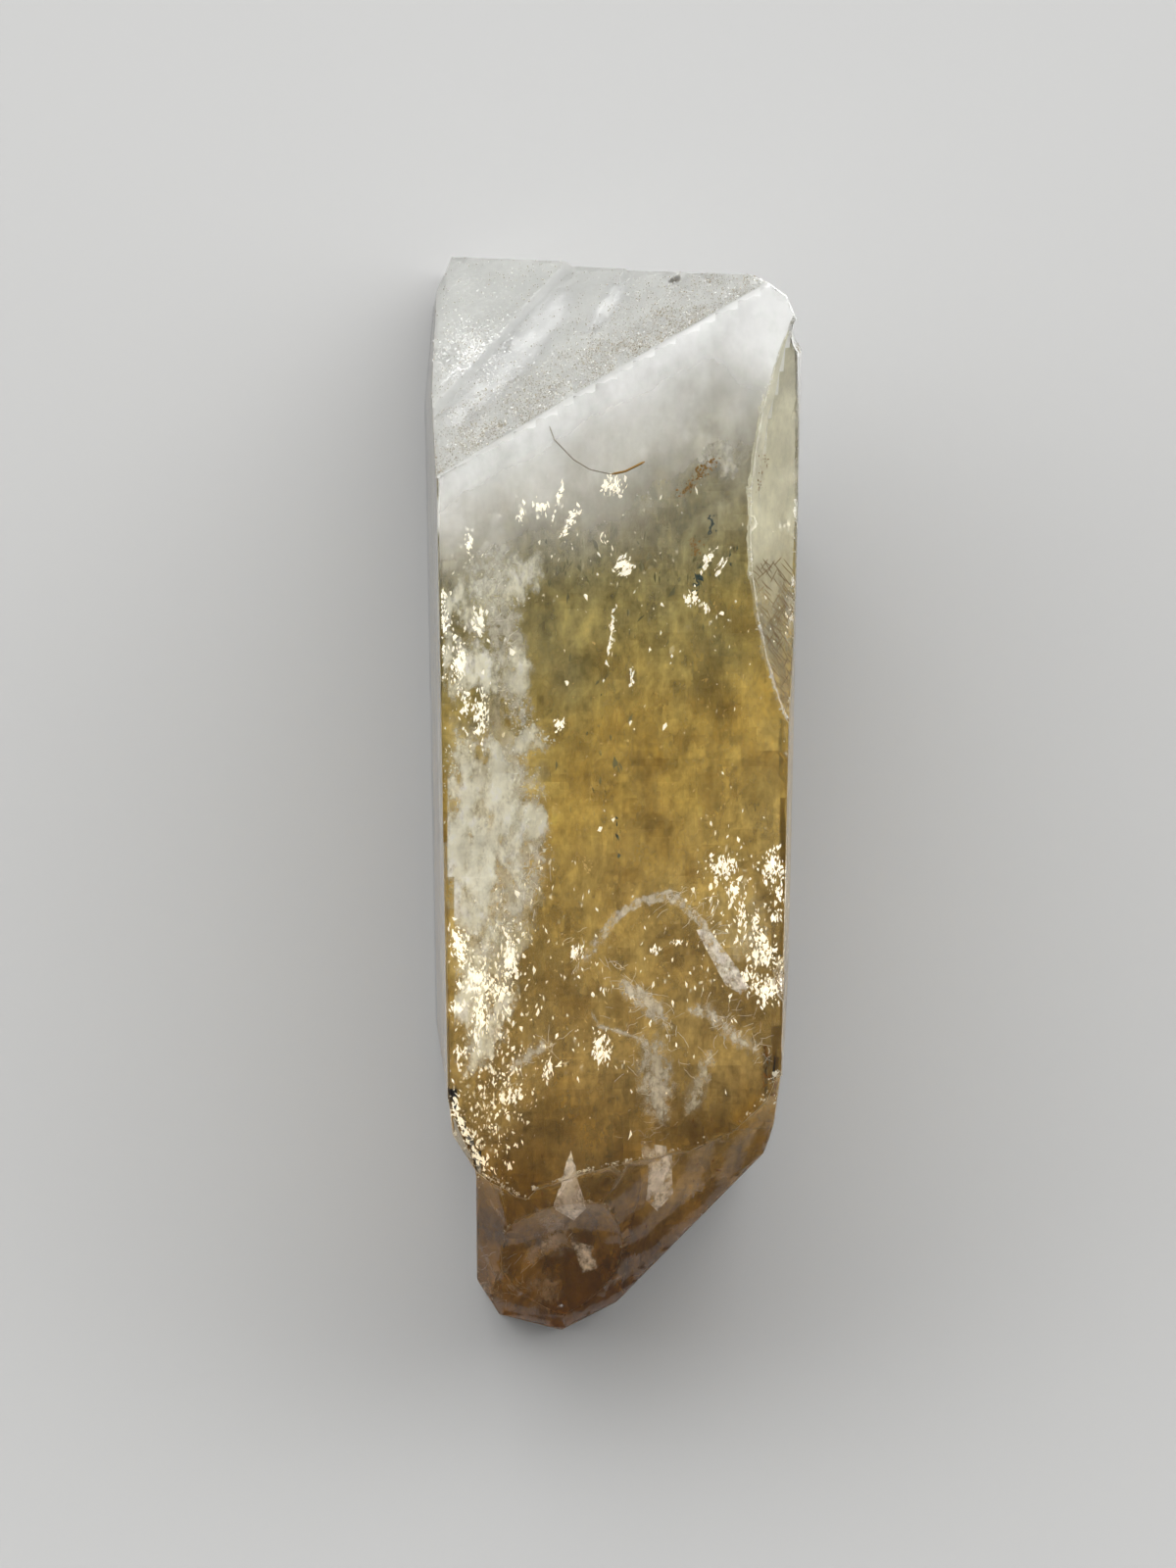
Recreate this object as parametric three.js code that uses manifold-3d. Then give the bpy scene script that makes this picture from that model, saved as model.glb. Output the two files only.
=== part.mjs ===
// One danburite crystal, lying on its back prism face. Millimetres, +Z up.
// X runs across the front face, Y along the crystal from its broken foot to its chisel end,
// and Z from the back face, which it rests on, to the front face.
import * as THREE from "three";
import { mergeVertices } from "three/addons/utils/BufferGeometryUtils.js";
import Module from "manifold-3d";

// Driving dimensions
const LENGTH = 55.8; // tip of the broken foot to the chisel ridge
const WIDTH = 19.4; // widest place, just below the chisel end
const DEPTH = 17.5; // back face to front face
const LEFT_HALF = 9.42; // middle of the crystal to its left side, half way along
const RIGHT_HALF = 9.12; // and to its right side: the prism tapers a little towards the foot
const BLANK_SPARE = 2; // what the rough blank has over the finished crystal, each side
const FAR = 60; // reach of a cutter that runs out of the crystal

// Prism faces: a point on each and its outward normal. Front and back are the blank's own faces.
const RIGHT_EDGE_Z = 14; // height of the right side's widest edge: the left side is widest at the back
const PRISM_FACES = [
  { through: [-LEFT_HALF, 0, 0], normal: [-1, -0.018, 0.045] }, // left
  { through: [-LEFT_HALF - 0.35, 20.5, 0], normal: [-1, 0.09, 0.045] }, // left, top end
  { through: [RIGHT_HALF, 0, RIGHT_EDGE_Z], normal: [1, -0.021, 0.09] }, // right, front strip
  { through: [RIGHT_HALF, 0, RIGHT_EDGE_Z], normal: [1, -0.021, -0.084] }, // right, leaning under
];

// Chisel end: two large faces that meet in the ridge, and small faces on its corners.
const CHISEL_FOOT = [-8.33, 16.1, DEPTH]; // where the frosted face meets the front face, at the left
const CHISEL_TRACE = THREE.MathUtils.degToRad(30.7); // rise of that meeting line to the right
const CHISEL_DIP = THREE.MathUtils.degToRad(59); // tilt of the frosted face from the front face
const RIDGE_RIGHT = [7.55, 26.15, 16.55]; // the ridge's front end, on the frosted face
const BACK_CHISEL_NORMAL = [0.52, 0.7, -0.475];
const CORNER_FACES = [
  { through: [-8.95, 26.3, 2.5], normal: [-0.93, 0.36, 0] }, // left
  { through: [7.5, 26.05, DEPTH], normal: [0.58, 0.81, -0.1] }, // front right
  { through: [8.75, 25.15, DEPTH], normal: [0.91, 0.41, -0.05] }, // right of that
];

// Growth terraces on the frosted face: the lower right side of each line is the deeper one.
const TERRACES = [
  { from: [-8.7, 19.6], to: [-2.1, 27], height: 0.34, fades: false },
  { from: [-1.6, 22.4], to: [0.9, 26.9], height: 0.16, fades: true },
];
const TERRACE_RISER = 0.45; // how far the riser leans back, as a share of twice its height

// The shallow flake off the right front edge: a round hollow that opens to the right and the front.
const FLAKE_MIDDLE = [9.12, 13.5, DEPTH];
const FLAKE_RADIUS = 34;
const FLAKE_DEPTH = 1.7;
const FLAKE_DIRECTION = [0.766, 0, 0.643];

// Breaks across the foot, from the right side round the tip to the left.
const FOOT_BREAKS = [
  { through: [8.52, -13.5, RIGHT_EDGE_Z], normal: [0.99, -0.09, -0.06] },
  { through: [8.3, -16.5, RIGHT_EDGE_Z], normal: [0.96, -0.28, -0.04] },
  { through: [7.62, -18.62, RIGHT_EDGE_Z], normal: [0.8, -0.6, -0.02] },
  { through: [3.45, -23.2, 0], normal: [0.71, -0.7, 0.03] },
  { through: [-1.2, -27.25, 0], normal: [0.45, -0.88, 0.04] },
  { through: [-4.4, -27.5, 0], normal: [-0.24, -0.96, 0.04] },
  { through: [-6.5, -26.2, 0], normal: [-0.84, -0.53, 0.03] },
];

// The chipped rim round the front of the tip.
const TIP_RIM = [
  { through: [3.18, -22.93, 12.9], normal: [0.52, -0.5, 0.69] },
  { through: [-1.2, -26.8, 9.9], normal: [0.36, -0.6, 0.71] },
  { through: [-4.4, -27.09, 9.9], normal: [-0.16, -0.66, 0.73] },
  { through: [-6.24, -26.03, 10.6], normal: [-0.62, -0.4, 0.67] },
];

// The ledge where the front of the crystal has split away above the foot, left to right.
const LEDGE = [
  [-9.1, -12.2], [-8.58, -14.5], [-8.25, -16], [-8.1, -17.3], [-7.4, -18.4], [-6.9, -19.2],
  [-6.15, -19.75], [-5.45, -20.05], [-5, -20.4], [-4.4, -20.6], [-3.9, -20.1], [-1.2, -19.2],
  [1.3, -18.6], [3.8, -18.15], [6.05, -17.15], [7.8, -15.6], [8.3, -14.3],
];
const LEDGE_FLOOR = { height: 15.7, at: -18.5, alongY: 0.45, alongX: 0.06 };

// The neck: the left side broken in behind the ledge's lip, from the tip upwards.
const NECK = [
  [-6.95, -19.6], [-7.1, -18.6], [-7.85, -17], [-8.2, -16], [-8.55, -14.5], [-9.2, -11.9],
];
const LIP_UNDERCUT = 0.35; // how far the neck's break bites into the lip, above the ledge's floor

// Round hollows that a break leaves: centre and radii of the ellipsoid that each one follows.
const DISHES_BELOW_LEDGE = [
  { centre: [-1.6, -26.4, 36.6], radii: [15, 10.5, 26] },
  { centre: [4.4, -21.8, 30.4], radii: [8.5, 6.8, 17] },
];
const HOLLOWS = [
  { centre: [-10.9, -21.6, 7], radii: [4.3, 4.8, 5.5] }, // neck
  { centre: [8.9, -24.2, 4.5], radii: [4.6, 4.4, 6] }, // right of the tip
  { centre: [11.05, 23.3, 15.9], radii: [2.1, 1.6, 3.8] }, // right end of the ridge
  { centre: [10.5, 21.2, 18.9], radii: [2.5, 2.8, 2.6] }, // top of the flake
];
const DISH_DETAIL = 30; // how finely the round cuts are faceted
const HOLLOW_DETAIL = 12;
const FLAKE_DETAIL = 50;

// Shallow round nicks along the worn edges: a point on the edge, the way out of it and the bite.
const NICK_RADIUS = 1.9;
const NICKS = [
  { at: [8.61, -9.2, DEPTH], outward: [0.7, -0.15, 0.7], bite: 0.34 },
  { at: [-6.4, 27.9, 2.7], outward: [0, 1, 0], bite: 0.14 },
  { at: [1.6, 27, 10.9], outward: [0.1, 1, 0], bite: 0.16 },
];

const HONEY = 0xb09a62;
const GLOSS = 0.22;

const wasm = await Module();
wasm.setup();

// A closed three.js geometry as a solid that can be joined and cut.
function solidOf(geometry) {
  geometry.deleteAttribute("normal");
  geometry.deleteAttribute("uv");
  const merged = mergeVertices(geometry, 1e-4);
  const mesh = new wasm.Mesh({
    numProp: 3,
    vertProperties: merged.attributes.position.array,
    triVerts: new Uint32Array(merged.index.array),
  });
  return new wasm.Manifold(mesh);
}

// A cut solid as a geometry with flat faces.
function geometryOf(solid) {
  const { vertProperties, triVerts } = solid.getMesh();
  const geometry = new THREE.BufferGeometry();
  geometry.setAttribute("position", new THREE.BufferAttribute(vertProperties, 3));
  geometry.setIndex(new THREE.BufferAttribute(triVerts, 1));
  const faceted = geometry.toNonIndexed();
  faceted.computeVertexNormals();
  return faceted;
}

// Everything beyond the plane through a point, on the side its normal points to.
function beyond(through, normal) {
  const outward = new THREE.Vector3(...normal).normalize();
  const toNormal = new THREE.Quaternion().setFromUnitVectors(new THREE.Vector3(0, 0, 1), outward);
  const block = new THREE.BoxGeometry(2 * FAR, 2 * FAR, FAR).translate(0, 0, FAR / 2);
  block.applyQuaternion(toNormal).translate(...through);
  return solidOf(block);
}

function ellipsoid(centre, radii, detail) {
  const ball = new THREE.IcosahedronGeometry(1, detail).scale(...radii).translate(...centre);
  return solidOf(ball);
}

// An outline in X and Y raised into a block whose floor and roof heights come from two functions.
function block(outline, floorAt, roofAt) {
  const shape = new THREE.Shape(outline.map(([x, y]) => new THREE.Vector2(x, y)));
  const geometry = new THREE.ExtrudeGeometry(shape, { depth: 1, bevelEnabled: false });
  const position = geometry.attributes.position;
  for (let i = 0; i < position.count; i++) {
    const heightAt = position.getZ(i) > 0.5 ? roofAt : floorAt;
    position.setZ(i, heightAt(position.getX(i), position.getY(i)));
  }
  return solidOf(geometry);
}

// The frosted chisel face's outward normal, from its trace on the front face and its dip.
function chiselNormal() {
  const acrossTrace = new THREE.Vector3(-Math.sin(CHISEL_TRACE), Math.cos(CHISEL_TRACE), 0);
  return acrossTrace.multiplyScalar(Math.sin(CHISEL_DIP)).setZ(Math.cos(CHISEL_DIP));
}

// The point at x and y on the plane that lies a given height over the frosted face's deepest level.
function onChisel([x, y], height) {
  const normal = chiselNormal();
  const foot = new THREE.Vector3(...CHISEL_FOOT).addScaledVector(normal, height);
  const drop = (x - foot.x) * normal.x + (y - foot.y) * normal.y;
  return new THREE.Vector3(x, y, foot.z - drop / normal.z);
}

// The slab over the lower right side of a terrace line. A line that fades has no depth where it starts.
function terraceSlab(line, bottom) {
  const start = onChisel(line.from, line.fades ? bottom + line.height : bottom);
  const along = onChisel(line.to, bottom).sub(start).normalize();
  const across = new THREE.Vector3().crossVectors(along, chiselNormal()).normalize();
  const normal = new THREE.Vector3().crossVectors(across, along);
  const lean = 2 * TERRACE_RISER * FAR;
  const profile = new THREE.Shape([
    new THREE.Vector2(0, 0), new THREE.Vector2(FAR, 0),
    new THREE.Vector2(FAR, FAR), new THREE.Vector2(-lean, FAR),
  ]);
  const slab = new THREE.ExtrudeGeometry(profile, { depth: 2 * FAR, bevelEnabled: false });
  const frame = new THREE.Matrix4().makeBasis(across, normal, along.clone().negate());
  slab.translate(0, 0, -FAR).applyMatrix4(frame).translate(start.x, start.y, start.z);
  return solidOf(slab);
}

function prism() {
  const size = [WIDTH + 2 * BLANK_SPARE, LENGTH + 2 * BLANK_SPARE, DEPTH];
  let solid = solidOf(new THREE.BoxGeometry(...size).translate(0, 0, DEPTH / 2));
  for (const face of PRISM_FACES) solid = solid.subtract(beyond(face.through, face.normal));
  return solid;
}

// The chisel end is cut at its highest terrace, and each terrace line then takes a layer off.
function withChiselEnd(solid) {
  let bottom = TERRACES.reduce((sum, line) => sum + line.height, 0);
  const normal = chiselNormal();
  const top = new THREE.Vector3(...CHISEL_FOOT).addScaledVector(normal, bottom);
  solid = solid.subtract(beyond(top.toArray(), normal.toArray()));
  for (const line of TERRACES) {
    bottom -= line.height;
    solid = solid.subtract(terraceSlab(line, bottom));
  }
  solid = solid.subtract(beyond(RIDGE_RIGHT, BACK_CHISEL_NORMAL));
  for (const face of CORNER_FACES) solid = solid.subtract(beyond(face.through, face.normal));
  return solid;
}

function withFlake(solid) {
  const outward = new THREE.Vector3(...FLAKE_DIRECTION).normalize();
  const centre = outward.multiplyScalar(FLAKE_RADIUS - FLAKE_DEPTH).add(new THREE.Vector3(...FLAKE_MIDDLE));
  const radii = [FLAKE_RADIUS, FLAKE_RADIUS, FLAKE_RADIUS];
  return solid.subtract(ellipsoid(centre.toArray(), radii, FLAKE_DETAIL));
}

function withBrokenFoot(solid) {
  for (const face of FOOT_BREAKS) solid = solid.subtract(beyond(face.through, face.normal));
  const { height, at, alongX, alongY } = LEDGE_FLOOR;
  const floorAt = (x, y) => height + (y - at) * alongY + x * alongX;
  const ledgeTop = LEDGE[LEDGE.length - 1][1];
  const inFront = [...LEDGE, [WIDTH, ledgeTop], [WIDTH, -LENGTH], [-WIDTH, -LENGTH], [-WIDTH, LEDGE[0][1]]];
  solid = solid.subtract(block(inFront, floorAt, () => FAR));
  const belowLedge = block(inFront, () => -FAR, () => FAR);
  for (const { centre, radii } of DISHES_BELOW_LEDGE) {
    solid = solid.subtract(ellipsoid(centre, radii, DISH_DETAIL).intersect(belowLedge));
  }
  for (const face of TIP_RIM) {
    solid = solid.subtract(beyond(face.through, face.normal).intersect(belowLedge));
  }
  const neckTop = NECK[NECK.length - 1][1];
  const neckSide = [[NECK[0][0], -LENGTH], ...NECK, [-WIDTH, neckTop], [-WIDTH, -LENGTH]];
  return solid.subtract(block(neckSide, () => -FAR, (x, y) => floorAt(x, y) + LIP_UNDERCUT));
}

function withWear(solid) {
  for (const { centre, radii } of HOLLOWS) solid = solid.subtract(ellipsoid(centre, radii, HOLLOW_DETAIL));
  const radii = [NICK_RADIUS, NICK_RADIUS, NICK_RADIUS];
  for (const { at, outward, bite } of NICKS) {
    const away = new THREE.Vector3(...outward).setLength(NICK_RADIUS - bite);
    const centre = away.add(new THREE.Vector3(...at));
    solid = solid.subtract(ellipsoid(centre.toArray(), radii, HOLLOW_DETAIL));
  }
  return solid;
}

// The origin is under the middle of the crystal, on the face that it rests on.
function centredOnFootprint(geometry) {
  geometry.computeBoundingBox();
  const { min, max } = geometry.boundingBox;
  return geometry.translate(-(min.x + max.x) / 2, -(min.y + max.y) / 2, -min.z);
}

const crystalSolid = withWear(withBrokenFoot(withFlake(withChiselEnd(prism()))));
const honeyMaterial = new THREE.MeshStandardMaterial({ color: HONEY, roughness: GLOSS, metalness: 0 });
const crystal = new THREE.Mesh(centredOnFootprint(geometryOf(crystalSolid)), honeyMaterial);
crystal.name = "danburite_crystal";

const specimen = new THREE.Group();
specimen.add(crystal);

export default specimen;
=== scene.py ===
import math

import bmesh
import bpy
import numpy as np
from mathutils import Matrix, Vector, noise
from mathutils.bvhtree import BVHTree


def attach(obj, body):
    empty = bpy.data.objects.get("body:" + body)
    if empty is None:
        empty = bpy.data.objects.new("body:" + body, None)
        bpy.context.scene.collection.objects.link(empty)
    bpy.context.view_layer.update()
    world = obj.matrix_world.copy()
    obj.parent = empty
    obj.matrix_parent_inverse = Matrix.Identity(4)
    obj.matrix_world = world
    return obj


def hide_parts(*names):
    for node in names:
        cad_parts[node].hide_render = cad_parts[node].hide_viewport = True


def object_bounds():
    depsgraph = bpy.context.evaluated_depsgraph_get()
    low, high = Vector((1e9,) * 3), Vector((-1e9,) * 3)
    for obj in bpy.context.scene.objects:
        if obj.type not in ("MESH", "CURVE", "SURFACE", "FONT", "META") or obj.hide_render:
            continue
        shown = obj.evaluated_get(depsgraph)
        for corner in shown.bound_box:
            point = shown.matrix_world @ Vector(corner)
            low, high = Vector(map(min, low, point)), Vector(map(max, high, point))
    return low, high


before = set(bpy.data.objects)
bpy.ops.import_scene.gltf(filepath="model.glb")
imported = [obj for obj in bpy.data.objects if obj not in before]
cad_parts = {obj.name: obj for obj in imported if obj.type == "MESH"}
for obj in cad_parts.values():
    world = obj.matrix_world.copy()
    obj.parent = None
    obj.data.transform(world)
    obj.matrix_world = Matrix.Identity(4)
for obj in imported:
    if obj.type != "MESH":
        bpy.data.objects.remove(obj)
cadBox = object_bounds()
mm = 0.001
frontHeight = round(cadBox[1][2] / mm, 3)       # the front face above the floor, mm
chance = np.random.default_rng(41)
print("frame loaded")


def addNode(tree, kind, x, y, **values):
    node = tree.nodes.new(kind)
    node.location = (x, y)
    for key, value in values.items():
        if hasattr(node, key):
            setattr(node, key, value)
        else:
            node.inputs[key.replace("_", " ")].default_value = value
    return node


def wire(tree, source, output, target, entry):
    tree.links.new(source.outputs[output], target.inputs[entry])


def selectOnly(piece):
    bpy.ops.object.select_all(action="DESELECT")
    piece.select_set(True)
    bpy.context.view_layer.objects.active = piece


# camera straight over the front face
cameraView = {
    "over": (-1.175, 0.5),      # point of the crystal in the middle of the picture, mm
    "sharpHeight": 12,          # height that the frame is measured at, mm
    "distance": 556,            # from there up to the camera, mm
    "lens": 250,
    "sensor": 36,
}


def placeCamera():
    lookHeight = cameraView["sharpHeight"] + cameraView["distance"]
    x, y = cameraView["over"]
    bpy.ops.object.camera_add(location=(x * mm, y * mm, lookHeight * mm), rotation=(0, 0, 0))
    camera = bpy.context.object
    camera.name = "overheadCamera"
    camera.data.lens = cameraView["lens"]
    camera.data.sensor_width = cameraView["sensor"]
    camera.data.clip_start = 0.01
    bpy.context.scene.camera = camera
    print("camera placed")


# pale floor in a light tent: bright at the two sides, dim above and towards the foot
studio = {
    "floorSize": 3,
    "floorColour": (0.45, 0.45, 0.445, 1),
    "tentLight": 5.0,
    "dimShare": 0.05,
    "dimTowards": (0, -0.66, 0.75),
    "sideGlow": 2.0,
}


def makeStudio():
    bpy.ops.mesh.primitive_plane_add(size=studio["floorSize"], location=(0, 0, 0))
    floor = bpy.context.object
    floor.name = "paleFloor"
    paper = bpy.data.materials.new("palePaper")
    paper.use_nodes = True
    shader = paper.node_tree.nodes["Principled BSDF"]
    shader.inputs["Base Color"].default_value = studio["floorColour"]
    shader.inputs["Roughness"].default_value = 0.9
    floor.data.materials.append(paper)
    world = bpy.data.worlds.new("lightTent")
    bpy.context.scene.world = world
    world.use_nodes = True
    tree = world.node_tree
    tree.nodes.clear()
    place = addNode(tree, "ShaderNodeTexCoord", -1000, 0)
    split = addNode(tree, "ShaderNodeSeparateXYZ", -800, -150)
    towards = addNode(tree, "ShaderNodeVectorMath", -800, 100, operation="DOT_PRODUCT")
    towards.inputs[1].default_value = studio["dimTowards"]
    dim = addNode(tree, "ShaderNodeMapRange", -500, 100, interpolation_type="SMOOTHSTEP", From_Min=0.08,
                  From_Max=0.5, To_Min=1, To_Max=studio["dimShare"])
    sideways = addNode(tree, "ShaderNodeMath", -650, -150, operation="ABSOLUTE")
    glow = addNode(tree, "ShaderNodeMapRange", -500, -150, interpolation_type="SMOOTHSTEP",
                   From_Min=0.55, From_Max=0.85, To_Min=studio["tentLight"],
                   To_Max=studio["tentLight"] + studio["sideGlow"])
    total = addNode(tree, "ShaderNodeMath", -350, 0, operation="MULTIPLY")
    sky = addNode(tree, "ShaderNodeBackground", -200, 0)
    out = addNode(tree, "ShaderNodeOutputWorld", 0, 0)
    wire(tree, place, "Generated", split, 0)
    wire(tree, place, "Generated", towards, 0)
    wire(tree, towards, "Value", dim, "Value")
    wire(tree, split, "X", sideways, 0)
    wire(tree, sideways, 0, glow, "Value")
    wire(tree, dim, "Result", total, 0)
    wire(tree, glow, "Result", total, 1)
    wire(tree, total, 0, sky, "Strength")
    wire(tree, sky, 0, out, "Surface")
    scene = bpy.context.scene
    scene.view_settings.view_transform = "Standard"
    scene.cycles.max_bounces = 11
    scene.cycles.transmission_bounces = 10
    scene.cycles.transparent_max_bounces = 24
    scene.cycles.sample_clamp_indirect = 6
    print("studio ready")


# the crystal's own skin, lengths in mm
crystal = {
    "cell": 0.6,
    "mergeWithin": 0.004,
    "smoothAngle": 28,                          # degrees
    "frostNormal": (-0.4376, 0.737, 0.515),
    "backFrostNormal": (0.52, 0.7, -0.475),
    "frostCorner": (-8.33, 16.1),               # where the frost's plane meets the front face
    "slantStart": (-8.33, 16.31),               # left end of the slanting edge below the frost
    "slantRise": 0.594,                         # its climb for each mm to the right
    "frostedFrom": 10,                          # y where the frosted end begins
    "brokenFrom": -12,                          # y where the broken foot begins
    "flakeFacing": 0.35,                        # faces of the flake look at least this far right and up
    "flakeStart": (9.5, 22, 16),                # where the ripples of each break begin
    "footStart": (-2, -17, 15),
    "edgeAngle": 0.32,                          # radians, sharper edges are worn
    "frostRelief": 0.03,
    "rippleRelief": 0.02,
    "rippleTurns": 3.2,                         # radians a mm
    "ior": 1.63,
    "absorbColour": (0.86, 0.75, 0.38, 1),
    "absorbDensity": 42,
    "colourReach": 28,                          # colours run this far each way along Y
    "tints": [
        (0, (0.50, 0.28, 0.08, 1)),
        (0.06, (0.62, 0.44, 0.24, 1)),
        (0.12, (0.70, 0.55, 0.38, 1)),
        (0.2, (0.86, 0.77, 0.62, 1)),
        (0.28, (0.96, 0.92, 0.84, 1)),
        (0.45, (0.97, 0.96, 0.92, 1)),
        (1, (0.99, 0.99, 0.98, 1)),
    ],
}


# mm below the slanting front edge of the frosted face
def belowSlant(x, y):
    startX, startY = crystal["slantStart"]
    return startY + crystal["slantRise"] * (x - startX) - y


# height of the frosted face's plane, mm
def frostPlane(x, y):
    nx, ny, nz = Vector(crystal["frostNormal"]).normalized()
    cornerX, cornerY = crystal["frostCorner"]
    return frontHeight - ((x - cornerX) * nx + (y - cornerY) * ny) / nz


def onFlake(place, facing):
    tipped = crystal["flakeFacing"]
    return (facing[:, 0] > tipped) * (facing[:, 2] > tipped) * (place[:, 1] > 0)


def makeCrystal():
    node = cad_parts["danburite_crystal"]
    piece = bpy.data.objects.new("danburiteCrystal", node.data.copy())
    bpy.context.scene.collection.objects.link(piece)
    piece.data.materials.clear()
    selectOnly(piece)
    bpy.ops.object.mode_set(mode="EDIT")
    bpy.ops.mesh.select_all(action="SELECT")
    bpy.ops.mesh.remove_doubles(threshold=1e-6)
    bpy.ops.mesh.dissolve_limited(angle_limit=math.radians(0.25))
    bpy.ops.object.mode_set(mode="OBJECT")
    cutFiner(piece.data)
    markRegions(piece)
    addRelief(piece)
    bpy.ops.object.shade_smooth_by_angle(angle=math.radians(crystal["smoothAngle"]))
    piece.data.materials.append(honeyGlass())
    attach(piece, "root")
    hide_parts("danburite_crystal")
    print("crystal skin:", len(piece.data.polygons), "faces")
    return piece


# slices the skin into small cells, so that its faces can carry relief and keep their own edges
def cutFiner(mesh):
    shape = bmesh.new()
    shape.from_mesh(mesh)
    bmesh.ops.triangulate(shape, faces=shape.faces)
    for axis in range(3):
        normal = Vector([float(k == axis) for k in range(3)])
        places = [corner.co[axis] for corner in shape.verts]
        for at in np.arange(min(places), max(places), crystal["cell"] * mm)[1:]:
            everything = shape.verts[:] + shape.edges[:] + shape.faces[:]
            bmesh.ops.bisect_plane(shape, geom=everything, dist=1e-8, plane_co=normal * at,
                                   plane_no=normal)
    bmesh.ops.remove_doubles(shape, verts=shape.verts, dist=crystal["mergeWithin"] * mm)
    bmesh.ops.triangulate(shape, faces=shape.faces)
    print("open edges:", sum(not edge.is_manifold for edge in shape.edges))
    shape.to_mesh(mesh)
    shape.free()


def setAttribute(mesh, name, values):
    layer = mesh.attributes.new(name, "FLOAT", "POINT")
    layer.data.foreach_set("value", np.asarray(values, np.float32))


def placesOf(mesh):
    place = np.empty(len(mesh.vertices) * 3)
    mesh.vertices.foreach_get("co", place)
    return place.reshape(-1, 3) / mm


def readAttribute(mesh, name):
    values = np.empty(len(mesh.vertices), np.float32)
    mesh.attributes[name].data.foreach_get("value", values)
    return values


def facingOf(mesh):
    facing = np.empty(len(mesh.vertices) * 3)
    mesh.vertices.foreach_get("normal", facing)
    return facing.reshape(-1, 3)


# how much each point of the skin is frosted, broken or worn
def markRegions(piece):
    mesh = piece.data
    place = placesOf(mesh)
    facing = facingOf(mesh)
    frost = np.array(Vector(crystal["frostNormal"]).normalized())
    backFrost = np.array(Vector(crystal["backFrostNormal"]).normalized())
    towardsFrost = np.maximum(facing @ frost, facing @ backFrost)
    frosted = np.clip((towardsFrost - 0.6) / 0.1, 0, 1) * (place[:, 1] > crystal["frostedFrom"])
    setAttribute(mesh, "frosted", frosted)
    broken = np.clip((crystal["brokenFrom"] - place[:, 1]) / 1.5, 0, 1) * (facing[:, 2] < 0.995)
    setAttribute(mesh, "broken", np.maximum(broken, onFlake(place, facing)))
    worn = np.zeros(len(mesh.vertices))
    shape = bmesh.new()
    shape.from_mesh(mesh)
    for edge in shape.edges:
        if edge.calc_face_angle(0) > crystal["edgeAngle"]:
            worn[[corner.index for corner in edge.verts]] = 1
    shape.free()
    setAttribute(mesh, "worn", worn)


# frost pits, and ripples that run out from where each break began
def addRelief(piece):
    mesh = piece.data
    place = placesOf(mesh)
    facing = facingOf(mesh)
    frosted = readAttribute(mesh, "frosted")
    broken = readAttribute(mesh, "broken") * (1 - readAttribute(mesh, "worn"))
    push = np.zeros(len(place))
    for i in np.flatnonzero(frosted > 0.05):
        pits = noise.fractal(Vector(place[i]) * 1.6, 0.8, 2.0, 4)
        push[i] += frosted[i] * crystal["frostRelief"] * pits
    for i in np.flatnonzero(broken > 0.05):
        start = Vector(crystal["flakeStart"] if place[i, 1] > 0 else crystal["footStart"])
        ring = (Vector(place[i]) - start).length + 0.5 * noise.noise(Vector(place[i]) * 0.5)
        push[i] += broken[i] * crystal["rippleRelief"] * math.sin(ring * crystal["rippleTurns"])
    # the underside stays flat and the slanting edge stays straight
    push[facing[:, 2] < -0.5] = 0
    atSlant = np.abs(belowSlant(place[:, 0], place[:, 1])) < 0.3
    push[(place[:, 1] > crystal["frostedFrom"]) * atSlant] = 0
    place += facing * push[:, None]
    mesh.vertices.foreach_set("co", (place * mm).reshape(-1))
    mesh.update()


def fillRamp(ramp, stops):
    ramp.elements[0].position, ramp.elements[0].color = stops[0]
    ramp.elements[1].position, ramp.elements[1].color = stops[-1]
    for position, colour in stops[1:-1]:
        ramp.elements.new(position).color = colour


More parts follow.
